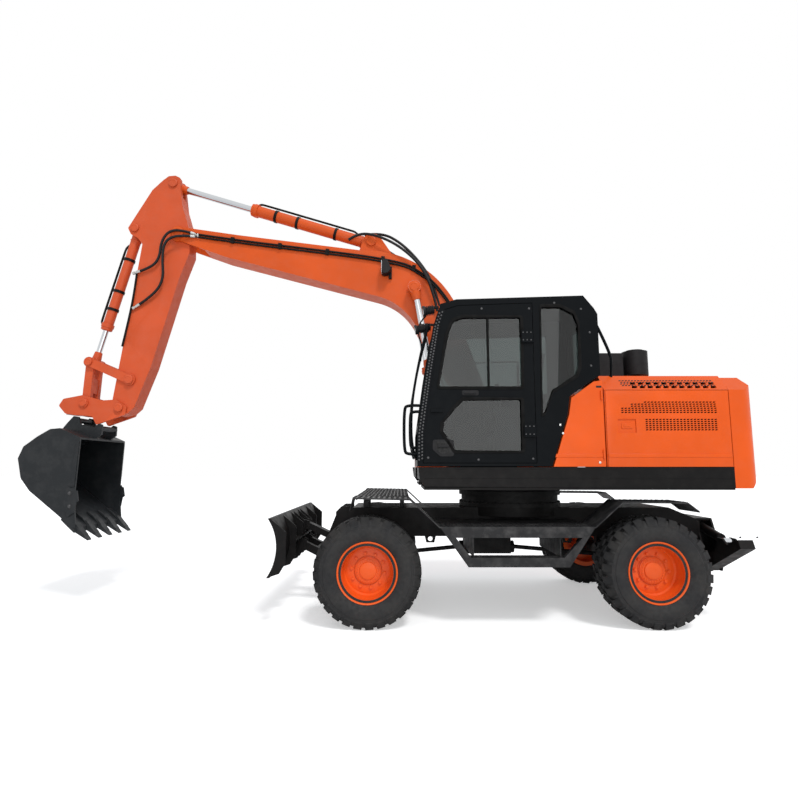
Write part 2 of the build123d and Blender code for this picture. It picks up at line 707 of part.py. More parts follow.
def section_of_hood(inset):
    """The hood's front view outline, drawn in by an inset."""
    half = upper_half_width - inset
    top = hood_top - inset
    return side([
        (-half, skirt_top + 5), (half, skirt_top + 5), (half, hood_side_top), (half - hood_chamfer, top),
        (-half + hood_chamfer, top), (-half, hood_side_top),
    ])


def grille_slots(x_low, x_high, rows, pitch, slant):
    """Upright cutters for rows of short slots."""
    cutters = []
    for z in rows:
        count = int((x_high - x_low) // pitch)
        for number in range(count):
            x = x_low + (number + 0.5) * pitch
            half = pitch * 0.34
            slot = side([(x - half, z - 14), (x + half, z - 14), (x + half + slant, z + 14), (x - half + slant, z + 14)])
            cutters.append(slab(slot, upper_half_width - 300, upper_half_width + 20))
    return cutters


def engine_hood():
    """The fixed hood: front bulkhead, roof with its lid opening, and chamfered shoulders with grilles."""
    rear = counterweight_front + 3
    hood = across(section_of_hood(0), rear, hood_front) - across(section_of_hood(panel), rear - 5, hood_front - panel)
    for end in (-1, 1):
        low, high = sorted((end * (upper_half_width - panel - 20), end * (upper_half_width + 5)))
        hood -= block(rear - 5, hood_front - door_gap, low, high, skirt_top, hood_side_top)
    hood -= block(rear - 5, hood_front - panel, -upper_half_width + 45, upper_half_width - 45, skirt_top, skirt_top + 60)
    hood -= block(-2120, -1130, -720, 100, hood_top - 60, hood_top + 10)
    for cutter in grille_slots(-2150, -1180, (2382, 2425), 81, -14):
        hood -= cutter
    inner = side([(-962, skirt_top), (-962, 2430), (-640, 2245), (-600, 2070), (-440, skirt_top)])
    hood += slab(inner, cab_inner + 5, cab_inner + 20)
    return hood


def hood_lid():
    """The raised lid over the engine bay, open underneath."""
    base = hood_top + fork_gap
    lid = block(-2150, -1100, -750, 130, base, base + 50)
    lid = chamfer(lid.edges().group_by(Axis.Z)[-1], 15)
    lid -= block(-2130, -1120, -730, 110, base - 5, base + 30)
    return lid + pin((-2150, base + 25), -700, 80, 14)


def engine_door():
    """The left engine door with two grilles, a recessed latch and hinge barrels on its rear edge."""
    rear, front = counterweight_front + 8, hood_front - 2 * door_gap
    bottom, top = skirt_top + 6, hood_side_top - 6
    door = block(rear, front, upper_half_width - door_thickness, upper_half_width, bottom, top)
    for cutter in grille_slots(-2105, -1150, (2130, 2185), 80, -14) + grille_slots(-2110, -1385, (1945, 2000), 80, -14):
        door -= cutter
    door -= block(-1290, -1100, upper_half_width - 15, upper_half_width + 5, 1900, 2040)
    for z in (1650, 2220):
        door += bar((rear + 12, upper_half_width + 8, z), (rear + 12, upper_half_width + 8, z + 90), 12)
    return door


def service_door():
    """The left service door ahead of the engine bay, under the cab's rear corner."""
    outline = [(-966, 1571), (-966, 2448), (-878, 2436), (-644, 2268), (-614, 2094), (-441, 1571)]
    door = slab(side(outline), upper_half_width - door_thickness, upper_half_width)
    for z in (1650, 2250):
        door += bar((-950, upper_half_width + 8, z), (-950, upper_half_width + 8, z + 90), 12)
    return door


def tank_housing():
    """Fuel and oil tanks with the tool box ahead, on the right of the boom."""
    high, low = -cab_inner - 5, -upper_half_width
    body = slab(side([(640, skirt_top), (640, 2010), (440, 2250), (-300, 2330), (hood_front + 6, 2330), (hood_front + 6, skirt_top)], 0), low, high)
    body += block(640, 890, low, high, skirt_top, 1800)
    body = body - block(870, 900, low - 5, high + 5, 1700, 1810)
    return body


def engine_block():
    """The engine as one plain mass on its mounts."""
    top = deck_bottom + deck_plate
    engine = block(-1950, -1350, -520, 480, top + 120, 2250)
    for x in (-1900, -1460):
        for y in (-420, 320):
            engine += block(x, x + 80, y, y + 80, top, top + 120)
    return engine


def air_precleaner():
    """The intake bowl on its pipe, and the silencer box beside it."""
    cleaner = bar((-1711, 300, hood_top), (-1711, 300, 2680), 62)
    cleaner += bar((-1711, 300, 2645), (-1711, 300, 2935), 145)
    cleaner += bar((-1711, 300, 2930), (-1711, 300, 2952), 100)
    cleaner += block(-1520, -1230, 180, 420, hood_top, 2900)
    return cleaner


def tube_path(points, radius):
    """Straight tubes along a path, each run on a little into the next bend."""
    tube = None
    for start, end in zip(points, points[1:]):
        onward = (Vector(*end) - Vector(*start)).normalized() * (radius * 0.6)
        run = bar(tuple(Vector(*start) - onward), tuple(Vector(*end) + onward), radius)
        tube = run if tube is None else tube + run
    return tube


def hand_rails():
    """The cab's front guard and grab bar, and the rail over the tank housing."""
    rails = None
    guard = [(925, 1660), (1000, 1790), (1000, 2260), (860, 2800), (775, 2985)]
    for y in (410, 1110):
        rail = tube_path([(x, y, z) for x, z in guard], 11)
        rails = rail if rails is None else rails + rail
    for x, z in guard[1:4]:
        rails += bar((x, 410, z), (x, 1110, z), 11)
    grab = [(915, 1165, 1700), (1060, 1165, 1700), (1060, 1165, 2190), (890, 1165, 2190)]
    rails += tube_path(grab, 16)
    right = [(600, -1150, 2030), (600, -1150, 2560), (-520, -1150, 2700), (-520, -1150, 2330)]
    rails += tube_path(right, 16)
    return rails


def work_lamps():
    """Two round lamps on the cab's front roof edge."""
    lamps = None
    for y in (1090, 400):
        lamp = bar((700, y, 3255), (830, y, 3235), 52) + block(640, 730, y - 20, y + 20, 3225, 3262)
        lamps = lamp if lamps is None else lamps + lamp
    return lamps


def boom():
    """The cranked box boom with its foot boss, cylinder bosses, arm cylinder bracket and tip fork."""
    foot_x, foot_z = boom_foot
    tip_x, tip_z = arm_pivot
    edge = [
        ThreePointArc((tip_x - 60, tip_z + 82), (tip_x + 101, tip_z + 5), (tip_x - 30, tip_z - 97)),
        Line((tip_x - 30, tip_z - 97), (3304, 4199)),
        Line((3304, 4199), (1373, 3682)),
        ThreePointArc((1373, 3682), (1060, 3506), (876, 3237)),
        Line((876, 3237), (foot_x + 105, foot_z + 40)),
        ThreePointArc((foot_x + 105, foot_z + 40), (foot_x - 20, foot_z - 112), (foot_x - 110, foot_z + 22)),
        Line((foot_x - 110, foot_z + 22), (282, 3123)),
        ThreePointArc((282, 3123), (774, 4027), (1593, 4283)),
        Line((1593, 4283), (3159, 4487)),
        Line((3159, 4487), (tip_x - 60, tip_z + 82)),
    ]
    beam = slab(make_face(edge), -boom_half_width, boom_half_width)
    inner = arm_half_width + fork_gap
    beam -= pin(arm_pivot, -inner, inner, 400)
    for end in (-1, 1):
        low, high = sorted((end * (boom_half_width - 5), end * (boom_half_width + 20)))
        beam += pin(boom_cylinder_eye, low, high, 90)
        low, high = sorted((end * (inner - 1), end * (boom_half_width + 16)))
        beam += pin(arm_pivot, low, high, 62)
        bracket = side([(1150, 4170), (1330, 4440), (1400, 4520), (1500, 4530), (1560, 4480), (1640, 4240)], 20)
        low, high = sorted((end * 82, end * 107))
        beam += slab(bracket, low, high)
    beam += pin(arm_cylinder_base, -122, 122, pin_radius)
    beam += pin(arm_pivot, -inner - 5, inner + 5, pin_radius + 5)
    return beam - pin(boom_foot, -boom_half_width - 5, boom_half_width + 5, pin_radius + 8 + pin_gap)


def boom_lines():
    """The run of hydraulic pipes clipped along both sides of the boom's upper edge."""
    run = [(700, 3860), (1010, 4070), (1620, 4190), (3140, 4385), (3700, 4470)]
    above = [(x, z + pipe_run_height) for x, z in reversed(run)]
    bundle = slab(side(run + above), boom_half_width + 6, boom_half_width + 28)
    for x, z in ((1300, 4160), (2000, 4272), (2600, 4350), (3200, 4430)):
        bundle += block(x, x + 40, boom_half_width, boom_half_width + 32, z - 40, z + 5)
    return pair(bundle)


def arm():
    """The arm with its two top lug pairs, pivot boss and bucket end."""
    shape = side([
        (4010, 5312), (4095, 5305), (4163, 5250), (4297, 5114), (4580, 4600), (4540, 4520), (4450, 4470), (4383, 4385),
        (4458, 3741), (4533, 3150), (4631, 2373), (4618, 2235), (4540, 2185), (4440, 2215), (4360, 2290), (4183, 2796),
        (3889, 3936), (3779, 4265), (3790, 4560), (3900, 4900), (3940, 5170), (3945, 5280),
    ], 22)
    beam = slab(shape, -arm_half_width, arm_half_width)
    beam -= block(3700, 4500, -50, 50, 5035, 5400)
    beam -= pin(bucket_cylinder_base, -66, 66, 140)
    for end in (-1, 1):
        low, high = sorted((end * 50, end * (arm_half_width + 12)))
        beam += pin(arm_cylinder_eye, low, high, pin_radius)
    beam += pin(bucket_cylinder_base, -arm_half_width - 12, arm_half_width + 12, pin_radius)
    beam += pin(rocker_pivot, -arm_half_width - 42, arm_half_width + 42, pin_radius)
    beam -= pin(arm_pivot, -arm_half_width - 5, arm_half_width + 5, pin_radius + 5 + pin_gap)
    return beam - pin(bucket_pivot, -arm_half_width - 5, arm_half_width + 5, pin_radius + pin_gap)


def rocker():
    """The two rocker plates with the pin stubs that carry the link."""
    inner = arm_half_width + fork_gap
    plates = None
    for end in (-1, 1):
        low, high = sorted((end * inner, end * (inner + 25)))
        plate_pair = slab(limb(rocker_pivot, rocker_eye, 110, 100), low, high)
        plate_pair += pin(rocker_pivot, low, high, 72) + pin(rocker_eye, low, high, 62)
        plate_pair -= pin(rocker_pivot, low - 1, high + 1, pin_radius + pin_gap)
        low, high = sorted((end * 54, end * (inner + 37)))
        plate_pair += pin(rocker_eye, low, high, pin_radius - 5)
        plates = plate_pair if plates is None else plates + plate_pair
    return plates


def bucket_link():
    """The H-shaped link from the rocker to the coupler."""
    link = None
    for end in (-1, 1):
        low, high = sorted((end * 56, end * (arm_half_width - 3)))
        arm_plate = slab(limb(rocker_eye, link_eye, 96, 96), low, high)
        arm_plate += pin(rocker_eye, low, high, 60) + pin(link_eye, low, high, 60)
        arm_plate -= pin(rocker_eye, low - 1, high + 1, pin_radius - 5 + pin_gap)
        link = arm_plate if link is None else link + arm_plate
    return link + slab(limb(toward(rocker_eye, link_eye, 190), toward(rocker_eye, link_eye, 380), 80, 80), -60, 60)


def quick_coupler():
    """The coupler's two cheeks, with the bucket pivot pin, jaws and cross block."""
    inner = arm_half_width + fork_gap
    cheek = side([
        (5265, 2310), (5215, 2395), (4985, 2440), (4740, 2375), (4570, 2385), (4440, 2300), (4450, 2200), (4560, 2160),
        (4700, 2110), (4790, 2075), (4850, 2180), (5060, 2195), (5180, 2215),
    ], 25)
    coupler = None
    for end in (-1, 1):
        low, high = sorted((end * inner, end * (inner + 25)))
        side_plate = slab(cheek, low, high)
        side_plate += pin(link_eye, *sorted((end * inner, end * (inner + 45))), 58)
        coupler = side_plate if coupler is None else coupler + side_plate
    coupler += pin(bucket_pivot, -inner - 45, inner + 45, pin_radius)
    coupler += block(4840, 5180, -inner, inner, 2205, 2236)
    return coupler


def bucket():
    """The bucket shell, side cutters, ears, coupler pins and teeth."""
    half = bucket_half_width
    outer = [
        (4760, 1905), (5000, 2010), (5110, 2000), (5250, 1915), (5400, 1800), (5452, 1665), (5400, 1440), (5290, 1300), (4920, 1010), (4735, 860),
    ]
    inner = [
        (4700, 1858), (5005, 1985), (5100, 1975), (5238, 1893), (5380, 1785), (5428, 1665), (5378, 1452), (5272, 1318), (4905, 1030), (4690, 858),
    ]
    mouth = [(4779, 1235), (4758, 1866)]
    shell = slab(side(outer + mouth), -half, half)
    shell -= slab(side(inner + [(4600, 1100)]), -half + bucket_wall, half - bucket_wall)
    pitch = (2 * half - 110) / (tooth_count - 1)
    for number in range(tooth_count):
        y = -half + 55 + number * pitch
        tooth = side([(4830, 960), (4780, 860), (4600, 752), (4612, 772), (4700, 880), (4760, 950)])
        shell += slab(tooth, y - 42, y + 42)
    ear_inner = arm_half_width + fork_gap + 30
    ear = side([(4700, 2075), (4740, 2090), (4800, 2040), (4960, 2080), (4990, 2170), (5050, 2180), (5120, 2100), (5260, 1915), (5100, 1960), (4790, 1890), (4700, 1960)], 6)
    for end in (-1, 1):
        low, high = sorted((end * ear_inner, end * (ear_inner + 28)))
        shell += slab(ear, low, high)
        low, high = sorted((end * half, end * (half + 14)))
        shell += slab(side([(4740, 1300), (4720, 1190), (4860, 1080), (4900, 1180), (4850, 1350)]), low, high)
    for place in ((5030, 2130), (4730, 2030)):
        shell += pin(place, -ear_inner - 30, ear_inner + 30, 32)
    return shell


def cylinder_with_lines(base, eye, y, sizes):
    """One of the digging cylinders, at its place across the machine."""
    return hydraulic((base[0], y, base[1]), (eye[0], y, eye[1]), (0, 1, 0), *sizes)


parts = {}


def keep(name, shape):
    """Set a finished piece aside under its name."""
    parts[name] = shape


keep("chassis_frame", chassis_frame())
keep("slewing_ring", slewing_ring())
keep("side_steps", side_steps())
keep("axles", axles())
keep("drive_line", drive_line())
keep("left_knuckle", knuckle())
keep("right_knuckle", mirrored(parts["left_knuckle"]))
keep("tie_rod", tie_rod())
for end_name, x in (("front", front_x), ("rear", rear_x)):
    keep(f"{end_name}_left_rim", rim((x, axle_z)))
    keep(f"{end_name}_left_tyre", tyre((x, axle_z)))
    keep(f"{end_name}_right_rim", mirrored(parts[f"{end_name}_left_rim"]))
    keep(f"{end_name}_right_tyre", mirrored(parts[f"{end_name}_left_tyre"]))
keep("dozer_blade", dozer_blade())
keep("blade_arms", blade_arms())
keep("blade_link", blade_link())
barrels, rods = blade_cylinders()
keep("blade_cylinder_barrels", barrels)
keep("blade_cylinder_rods", rods)
keep("left_outrigger", outrigger())
keep("right_outrigger", mirrored(parts["left_outrigger"]))
barrel, rod = outrigger_cylinder()
keep("left_outrigger_barrel", barrel)
keep("left_outrigger_rod", rod)
keep("right_outrigger_barrel", mirrored(barrel))
keep("right_outrigger_rod", mirrored(rod))
keep("upper_frame", upper_frame())
keep("counterweight", counterweight())
keep("cab_shell", cab_shell())
keep("cab_glass", cab_glass())
keep("cab_door", cab_door())
keep("cab_door_glass", cab_door_glass())
keep("operator_seat", operator_seat() - parts["cab_shell"])
keep("engine_hood", engine_hood())
keep("hood_lid", hood_lid())
keep("left_engine_door", engine_door())
keep("right_engine_door", mirrored(parts["left_engine_door"]))
keep("left_service_door", service_door())
keep("tank_housing", tank_housing())
keep("engine_block", engine_block())
keep("air_precleaner", air_precleaner())
keep("hand_rails", hand_rails() - parts["cab_shell"] - parts["tank_housing"])
keep("work_lamps", work_lamps() - parts["cab_shell"])
keep("boom", boom())
keep("boom_lines", boom_lines())
keep("arm", arm())
boom_cylinder = (56, 38, 1480, 1700, 86, 78, pin_radius)
left = cylinder_with_lines(boom_cylinder_base, boom_cylinder_eye, boom_cylinder_y, boom_cylinder)
right = cylinder_with_lines(boom_cylinder_base, boom_cylinder_eye, -boom_cylinder_y, boom_cylinder)
keep("boom_cylinder_barrels", left[0] + right[0])
keep("boom_cylinder_rods", left[1] + right[1])
arm_cylinder = (62, 40, 1625, 1760, 150, 72, pin_radius, 88)
barrel, rod = cylinder_with_lines(arm_cylinder_base, arm_cylinder_eye, 0, arm_cylinder)
keep("arm_cylinder_barrel", barrel)
keep("arm_cylinder_rod", rod)
bucket_cylinder = (50, 33, 1350, 1500, 122, 66, pin_radius, 94)
barrel, rod = cylinder_with_lines(bucket_cylinder_base, rocker_eye, 0, bucket_cylinder)
keep("bucket_cylinder_barrel", barrel)
keep("bucket_cylinder_rod", rod)
keep("bucket_rocker", rocker())
keep("bucket_link", bucket_link())
keep("quick_coupler", quick_coupler())
keep("bucket", bucket())

boxes = [shape.bounding_box() for shape in parts.values()]
shift_x = -(min(box.min.X for box in boxes) + max(box.max.X for box in boxes)) / 2

os.makedirs("parts", exist_ok=True)
for name, shape in parts.items():
    export_step(Pos(shift_x, 0, 0) * Compound(children=list(shape.solids())), f"parts/{name}.step")
print("shifted by", round(shift_x, 3))
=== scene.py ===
import bpy
import bmesh
import math
import random
from mathutils import Matrix, Vector


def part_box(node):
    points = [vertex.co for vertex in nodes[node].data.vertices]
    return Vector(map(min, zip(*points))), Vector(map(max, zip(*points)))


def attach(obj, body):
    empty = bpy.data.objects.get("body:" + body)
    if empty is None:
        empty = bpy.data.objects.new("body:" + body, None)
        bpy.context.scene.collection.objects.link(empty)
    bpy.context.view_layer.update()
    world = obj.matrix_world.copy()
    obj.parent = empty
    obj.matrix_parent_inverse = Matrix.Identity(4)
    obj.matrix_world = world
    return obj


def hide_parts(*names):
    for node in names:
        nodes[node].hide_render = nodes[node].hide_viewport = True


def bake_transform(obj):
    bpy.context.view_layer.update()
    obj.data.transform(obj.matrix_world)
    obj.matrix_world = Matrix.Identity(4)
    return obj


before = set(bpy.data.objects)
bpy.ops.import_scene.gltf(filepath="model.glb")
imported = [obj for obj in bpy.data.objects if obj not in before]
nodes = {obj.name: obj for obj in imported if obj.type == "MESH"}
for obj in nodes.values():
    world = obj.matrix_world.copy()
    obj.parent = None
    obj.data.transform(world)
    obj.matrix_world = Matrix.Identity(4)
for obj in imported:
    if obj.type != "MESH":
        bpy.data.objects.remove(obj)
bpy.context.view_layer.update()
random.seed(7)

# Places below are metres from the middle of the wheelbase; the frame's origin lies ahead of it
ahead = 1.461


def px(x):
    return x - ahead


def link(thing):
    bpy.context.scene.collection.objects.link(thing)


cameraSet = {
    "place": (1.103, 6.584, 1.566),
    "lens": 23.958,
    "up": 7.19,
    "turn": 180.11,
}
camData = bpy.data.cameras.new("camera")
camData.lens = cameraSet["lens"]
camData.sensor_width = 36
cam = bpy.data.objects.new("camera", camData)
link(cam)
cam.location = (px(cameraSet["place"][0]), cameraSet["place"][1], cameraSet["place"][2])
cam.rotation_euler = (math.radians(90 + cameraSet["up"]), 0, math.radians(cameraSet["turn"]))
bpy.context.scene.camera = cam
bpy.context.scene.view_settings.view_transform = "Standard"
print("camera set")

lightSet = {
    "sky": 0.55, "skyColour": (0.93, 0.96, 1.0, 1), "sun": 1.6, "sunTilt": (38, 0, 205), "sunSpread": 12,
    "fill": 150, "fillSize": 6, "fillPlace": (-1, 8, 3), "fillTilt": -80, "floorGlow": 0.42,
}


def whiteWhere(tree, shader):
    # plain white as the camera, gloss and glass see it, and the given shader for everything else
    path = tree.nodes.new("ShaderNodeLightPath")
    seen = path.outputs["Is Camera Ray"]
    for name in ("Is Glossy Ray", "Is Transmission Ray"):
        either = tree.nodes.new("ShaderNodeMath")
        either.operation = "MAXIMUM"
        tree.links.new(seen, either.inputs[0])
        tree.links.new(path.outputs[name], either.inputs[1])
        seen = either.outputs[0]
    white = tree.nodes.new("ShaderNodeBackground")
    white.inputs[0].default_value = (1, 1, 1, 1)
    white.inputs[1].default_value = 1.0
    mix = tree.nodes.new("ShaderNodeMixShader")
    tree.links.new(seen, mix.inputs[0])
    tree.links.new(shader.outputs[0], mix.inputs[1])
    tree.links.new(white.outputs[0], mix.inputs[2])
    return mix


world = bpy.data.worlds.new("studio")
bpy.context.scene.world = world
world.use_nodes = True
tree = world.node_tree
sky = tree.nodes["Background"]
sky.inputs[0].default_value = lightSet["skyColour"]
sky.inputs[1].default_value = lightSet["sky"]
tree.links.new(whiteWhere(tree, sky).outputs[0], tree.nodes["World Output"].inputs[0])

sunData = bpy.data.lights.new("sun", "SUN")
sunData.energy = lightSet["sun"]
sunData.angle = math.radians(lightSet["sunSpread"])
sun = bpy.data.objects.new("sun", sunData)
sun.rotation_euler = [math.radians(a) for a in lightSet["sunTilt"]]
link(sun)
fillData = bpy.data.lights.new("fill", "AREA")
fillData.energy = lightSet["fill"]
fillData.size = lightSet["fillSize"]
fill = bpy.data.objects.new("fill", fillData)
fill.location = lightSet["fillPlace"]
fill.rotation_euler = (math.radians(lightSet["fillTilt"]), 0, 0)
link(fill)


def shaderOf(name, colour, rough, metal=0.0):
    mat = bpy.data.materials.new(name)
    mat.use_nodes = True
    mat.diffuse_color = (*colour, 1)
    bsdf = mat.node_tree.nodes["Principled BSDF"]
    bsdf.inputs["Base Color"].default_value = (*colour, 1)
    bsdf.inputs["Roughness"].default_value = rough
    bsdf.inputs["Metallic"].default_value = metal
    return mat, mat.node_tree, bsdf


def noise(tree, scale, detail=4, rough=0.5, stretch=None):
    place = tree.nodes.new("ShaderNodeTexCoord")
    texture = tree.nodes.new("ShaderNodeTexNoise")
    texture.inputs["Scale"].default_value = scale
    texture.inputs["Detail"].default_value = detail
    texture.inputs["Roughness"].default_value = rough
    if stretch:
        mapping = tree.nodes.new("ShaderNodeMapping")
        mapping.inputs["Scale"].default_value = stretch
        tree.links.new(place.outputs["Object"], mapping.inputs[0])
        tree.links.new(mapping.outputs[0], texture.inputs["Vector"])
    else:
        tree.links.new(place.outputs["Object"], texture.inputs["Vector"])
    return texture.outputs["Fac"]


def ramp(tree, source, low, high, first, last):
    node = tree.nodes.new("ShaderNodeMapRange")
    node.inputs["From Min"].default_value = low
    node.inputs["From Max"].default_value = high
    node.inputs["To Min"].default_value = first
    node.inputs["To Max"].default_value = last
    tree.links.new(source, node.inputs["Value"])
    return node.outputs[0]


def blendColour(tree, amount, first, last):
    node = tree.nodes.new("ShaderNodeMix")
    node.data_type = "RGBA"
    tree.links.new(amount, node.inputs[0])
    for socket, value in ((node.inputs[6], first), (node.inputs[7], last)):
        if isinstance(value, tuple):
            socket.default_value = (*value, 1)
        else:
            tree.links.new(value, socket)
    return node.outputs[2]


def varyGloss(tree, bsdf, source, first, last, low=0.3, high=0.7):
    tree.links.new(ramp(tree, source, low, high, first, last), bsdf.inputs["Roughness"])


def bump(tree, bsdf, height, strength, distance=0.002):
    node = tree.nodes.new("ShaderNodeBump")
    node.inputs["Strength"].default_value = strength
    node.inputs["Distance"].default_value = distance
    tree.links.new(height, node.inputs["Height"])
    tree.links.new(node.outputs[0], bsdf.inputs["Normal"])


def multiply(tree, a, b):
    node = tree.nodes.new("ShaderNodeMath")
    node.operation = "MULTIPLY"
    tree.links.new(a, node.inputs[0])
    if isinstance(b, float):
        node.inputs[1].default_value = b
    else:
        tree.links.new(b, node.inputs[1])
    return node.outputs[0]


def paint(name, colour, rough, dustAndSheen=(0.3, 0.27, 0.23), dustAndSheenAmount=0.12, coat=0.3, peel=0.12, shine=0.5):
    mat, tree, bsdf = shaderOf(name, colour, rough)
    bsdf.inputs["Specular IOR Level"].default_value = shine
    shade = tuple(c * 0.9 for c in colour)
    base = blendColour(tree, ramp(tree, noise(tree, 2.2, 3), 0.35, 0.65, 0, 1), colour, shade)
    # blotches of dust colour; on the step paint the light grey is partly dust and partly a painted
    # reflection of the sky
    dustAndSheenMask = multiply(tree, ramp(tree, noise(tree, 9, 8, 0.65), 0.45, 0.75, 0, 1), float(dustAndSheenAmount))
    base = blendColour(tree, dustAndSheenMask, base, dustAndSheen)
    tree.links.new(base, bsdf.inputs["Base Color"])
    varyGloss(tree, bsdf, noise(tree, 14, 5), rough * 0.85, rough * 1.25)
    bsdf.inputs["Coat Weight"].default_value = coat
    bsdf.inputs["Coat Roughness"].default_value = 0.12
    bump(tree, bsdf, noise(tree, 420, 2), peel, 0.0004)
    return mat


orangePaint = paint("bodyOrange", (0.74, 0.092, 0.005), 0.36, dustAndSheenAmount=0.03, coat=0.08, shine=0.22)
# the boom's and arm's paints are the body orange made darker as painted shade, for their sides that face
# away from the light
boomShadedPaint = paint("boomShadedOrange", (0.66, 0.088, 0.01), 0.42, dustAndSheenAmount=0.05, coat=0.05, shine=0.22)
armShadedPaint = paint("armShadedOrange", (0.62, 0.09, 0.026), 0.46, dustAndSheenAmount=0.06, coat=0.04, shine=0.24)
rimPaint = paint("rimOrange", (0.78, 0.1, 0.01), 0.38, dustAndSheenAmount=0.04, coat=0.08, shine=0.25)
blackPaint = paint("chassisBlack", (0.006, 0.0055, 0.0055), 0.46, (0.05, 0.045, 0.04), 0.12, 0.0, 0.12, 0.12)
cabPaint = paint("cabBlack", (0.003, 0.004, 0.005), 0.4, (0.02, 0.02, 0.02), 0.05, 0.0, 0.12, 0.06)
bucketPaint = paint("bucketBlack", (0.01, 0.012, 0.014), 0.46, (0.07, 0.07, 0.07), 0.22, 0.0, 0.3, 0.3)
# the step paint's light grey blotches are partly dust and partly a painted reflection of the sky, which
# makes the fenders look grey
stepPaint = paint("stepBlack", (0.012, 0.012, 0.013), 0.48, (0.16, 0.155, 0.15), 0.3, 0.0, 0.3, 0.25)
castPaint = paint("castBlack", (0.007, 0.007, 0.007), 0.6, (0.04, 0.037, 0.034), 0.3, 0.0, 0.5, 0.2)
plastic = paint("blackPlastic", (0.008, 0.008, 0.009), 0.55, (0.05, 0.05, 0.05), 0.1, 0.0, 0.6, 0.22)
seatCloth = paint("seatCloth", (0.05, 0.055, 0.06), 0.9, (0.1, 0.1, 0.1), 0.2, 0.0, 0.15, 0.2)
seal = paint("sealRubber", (0.003, 0.003, 0.003), 0.7, (0.03, 0.03, 0.03), 0.08, 0.0, 0.2, 0.12)
hoseRubber = paint("hoseRubber", (0.007, 0.007, 0.008), 0.45, (0.04, 0.04, 0.04), 0.12, 0.0, 0.3, 0.25)

tyreRubber, tree, bsdf = shaderOf("tyreRubber", (0.02, 0.02, 0.021), 0.72)
bsdf.inputs["Specular IOR Level"].default_value = 0.25
dusty = ramp(tree, noise(tree, 5, 8, 0.6), 0.4, 0.7, 0, 0.45)
tree.links.new(blendColour(tree, dusty, (0.017, 0.017, 0.018), (0.045, 0.042, 0.038)),
    bsdf.inputs["Base Color"])
varyGloss(tree, bsdf, noise(tree, 30, 4), 0.6, 0.85)
bump(tree, bsdf, noise(tree, 160, 5), 0.25, 0.001)

chrome, tree, bsdf = shaderOf("chromeRod", (0.6, 0.62, 0.64), 0.14, 1.0)
varyGloss(tree, bsdf, noise(tree, 60, 3, 0.5, (1, 1, 0.05)), 0.1, 0.2)
steel, tree, bsdf = shaderOf("zincSteel", (0.55, 0.55, 0.53), 0.35, 1.0)
varyGloss(tree, bsdf, noise(tree, 90, 4), 0.28, 0.5)
wornSteel, tree, bsdf = shaderOf("wornSteel", (0.08, 0.08, 0.082), 0.45, 0.8)
varyGloss(tree, bsdf, noise(tree, 50, 6), 0.35, 0.65)
# near-black that paints the shade inside slots, holes and recesses
holeShadePaint, tree, bsdf = shaderOf("paintedHoleShade", (0.004, 0.004, 0.004), 0.8)
varyGloss(tree, bsdf, noise(tree, 50, 3), 0.7, 0.9)

# the glass colour is partly its real tint and partly painted shade of the cab's inside seen through it
glassTintAndShade, tree, bsdf = shaderOf("tintedAndShadedGlass", (0.19, 0.225, 0.22), 0.0)
bsdf.inputs["Specular IOR Level"].default_value = 0.3
bsdf.inputs["Transmission Weight"].default_value = 1.0
bsdf.inputs["IOR"].default_value = 1.45
varyGloss(tree, bsdf, noise(tree, 3, 3), 0.0, 0.05, 0.45, 0.75)
lensMat, tree, bsdf = shaderOf("lampLens", (0.75, 0.77, 0.78), 0.08)
bsdf.inputs["Coat Weight"].default_value = 1.0
varyGloss(tree, bsdf, noise(tree, 200, 2), 0.05, 0.15)

floorMat, tree, bsdf = shaderOf("paleFloor", (0.93, 0.93, 0.93), 0.85)
out = tree.nodes["Material Output"]
path = tree.nodes.new("ShaderNodeLightPath")
glow = tree.nodes.new("ShaderNodeEmission")
glow.inputs[1].default_value = lightSet["floorGlow"]
both = tree.nodes.new("ShaderNodeAddShader")
mix = tree.nodes.new("ShaderNodeMixShader")
tree.links.new(bsdf.outputs[0], both.inputs[0])
tree.links.new(glow.outputs[0], both.inputs[1])
tree.links.new(path.outputs["Is Camera Ray"], mix.inputs[0])
tree.links.new(bsdf.outputs[0], mix.inputs[1])
tree.links.new(both.outputs[0], mix.inputs[2])
tree.links.new(mix.outputs[0], out.inputs[0])
bpy.ops.mesh.primitive_plane_add(size=160)
floor = bpy.context.object
floor.name = "floor"
floor.data.materials.append(floorMat)
print("materials set")


def softenEdges(piece, width, segments, angle):
    edge = piece.modifiers.new("edge", "BEVEL")
    edge.width = width
    edge.segments = segments
    edge.limit_method = "ANGLE"
    edge.angle_limit = angle


def newPiece(name, shape, body, mat, bevel=0.0, angle=35, segments=2):
    # shape is a mesh, or a bmesh that becomes one here
    mesh = meshFrom(shape, name) if isinstance(shape, bmesh.types.BMesh) else shape
    piece = bpy.data.objects.new(name, mesh)
    link(piece)
    piece.data.materials.append(mat)
    smooth(mesh)
    mesh.set_sharp_from_angle(angle=math.radians(angle))
    if bevel:
        softenEdges(piece, bevel, segments, math.radians(angle))
    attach(piece, body)
    return piece


def smooth(mesh):
    mesh.polygons.foreach_set("use_smooth", [True] * len(mesh.polygons))


def meshFrom(bm, name):
    bmesh.ops.recalc_face_normals(bm, faces=bm.faces)
    mesh = bpy.data.meshes.new(name)
    bm.to_mesh(mesh)
    bm.free()
    return mesh


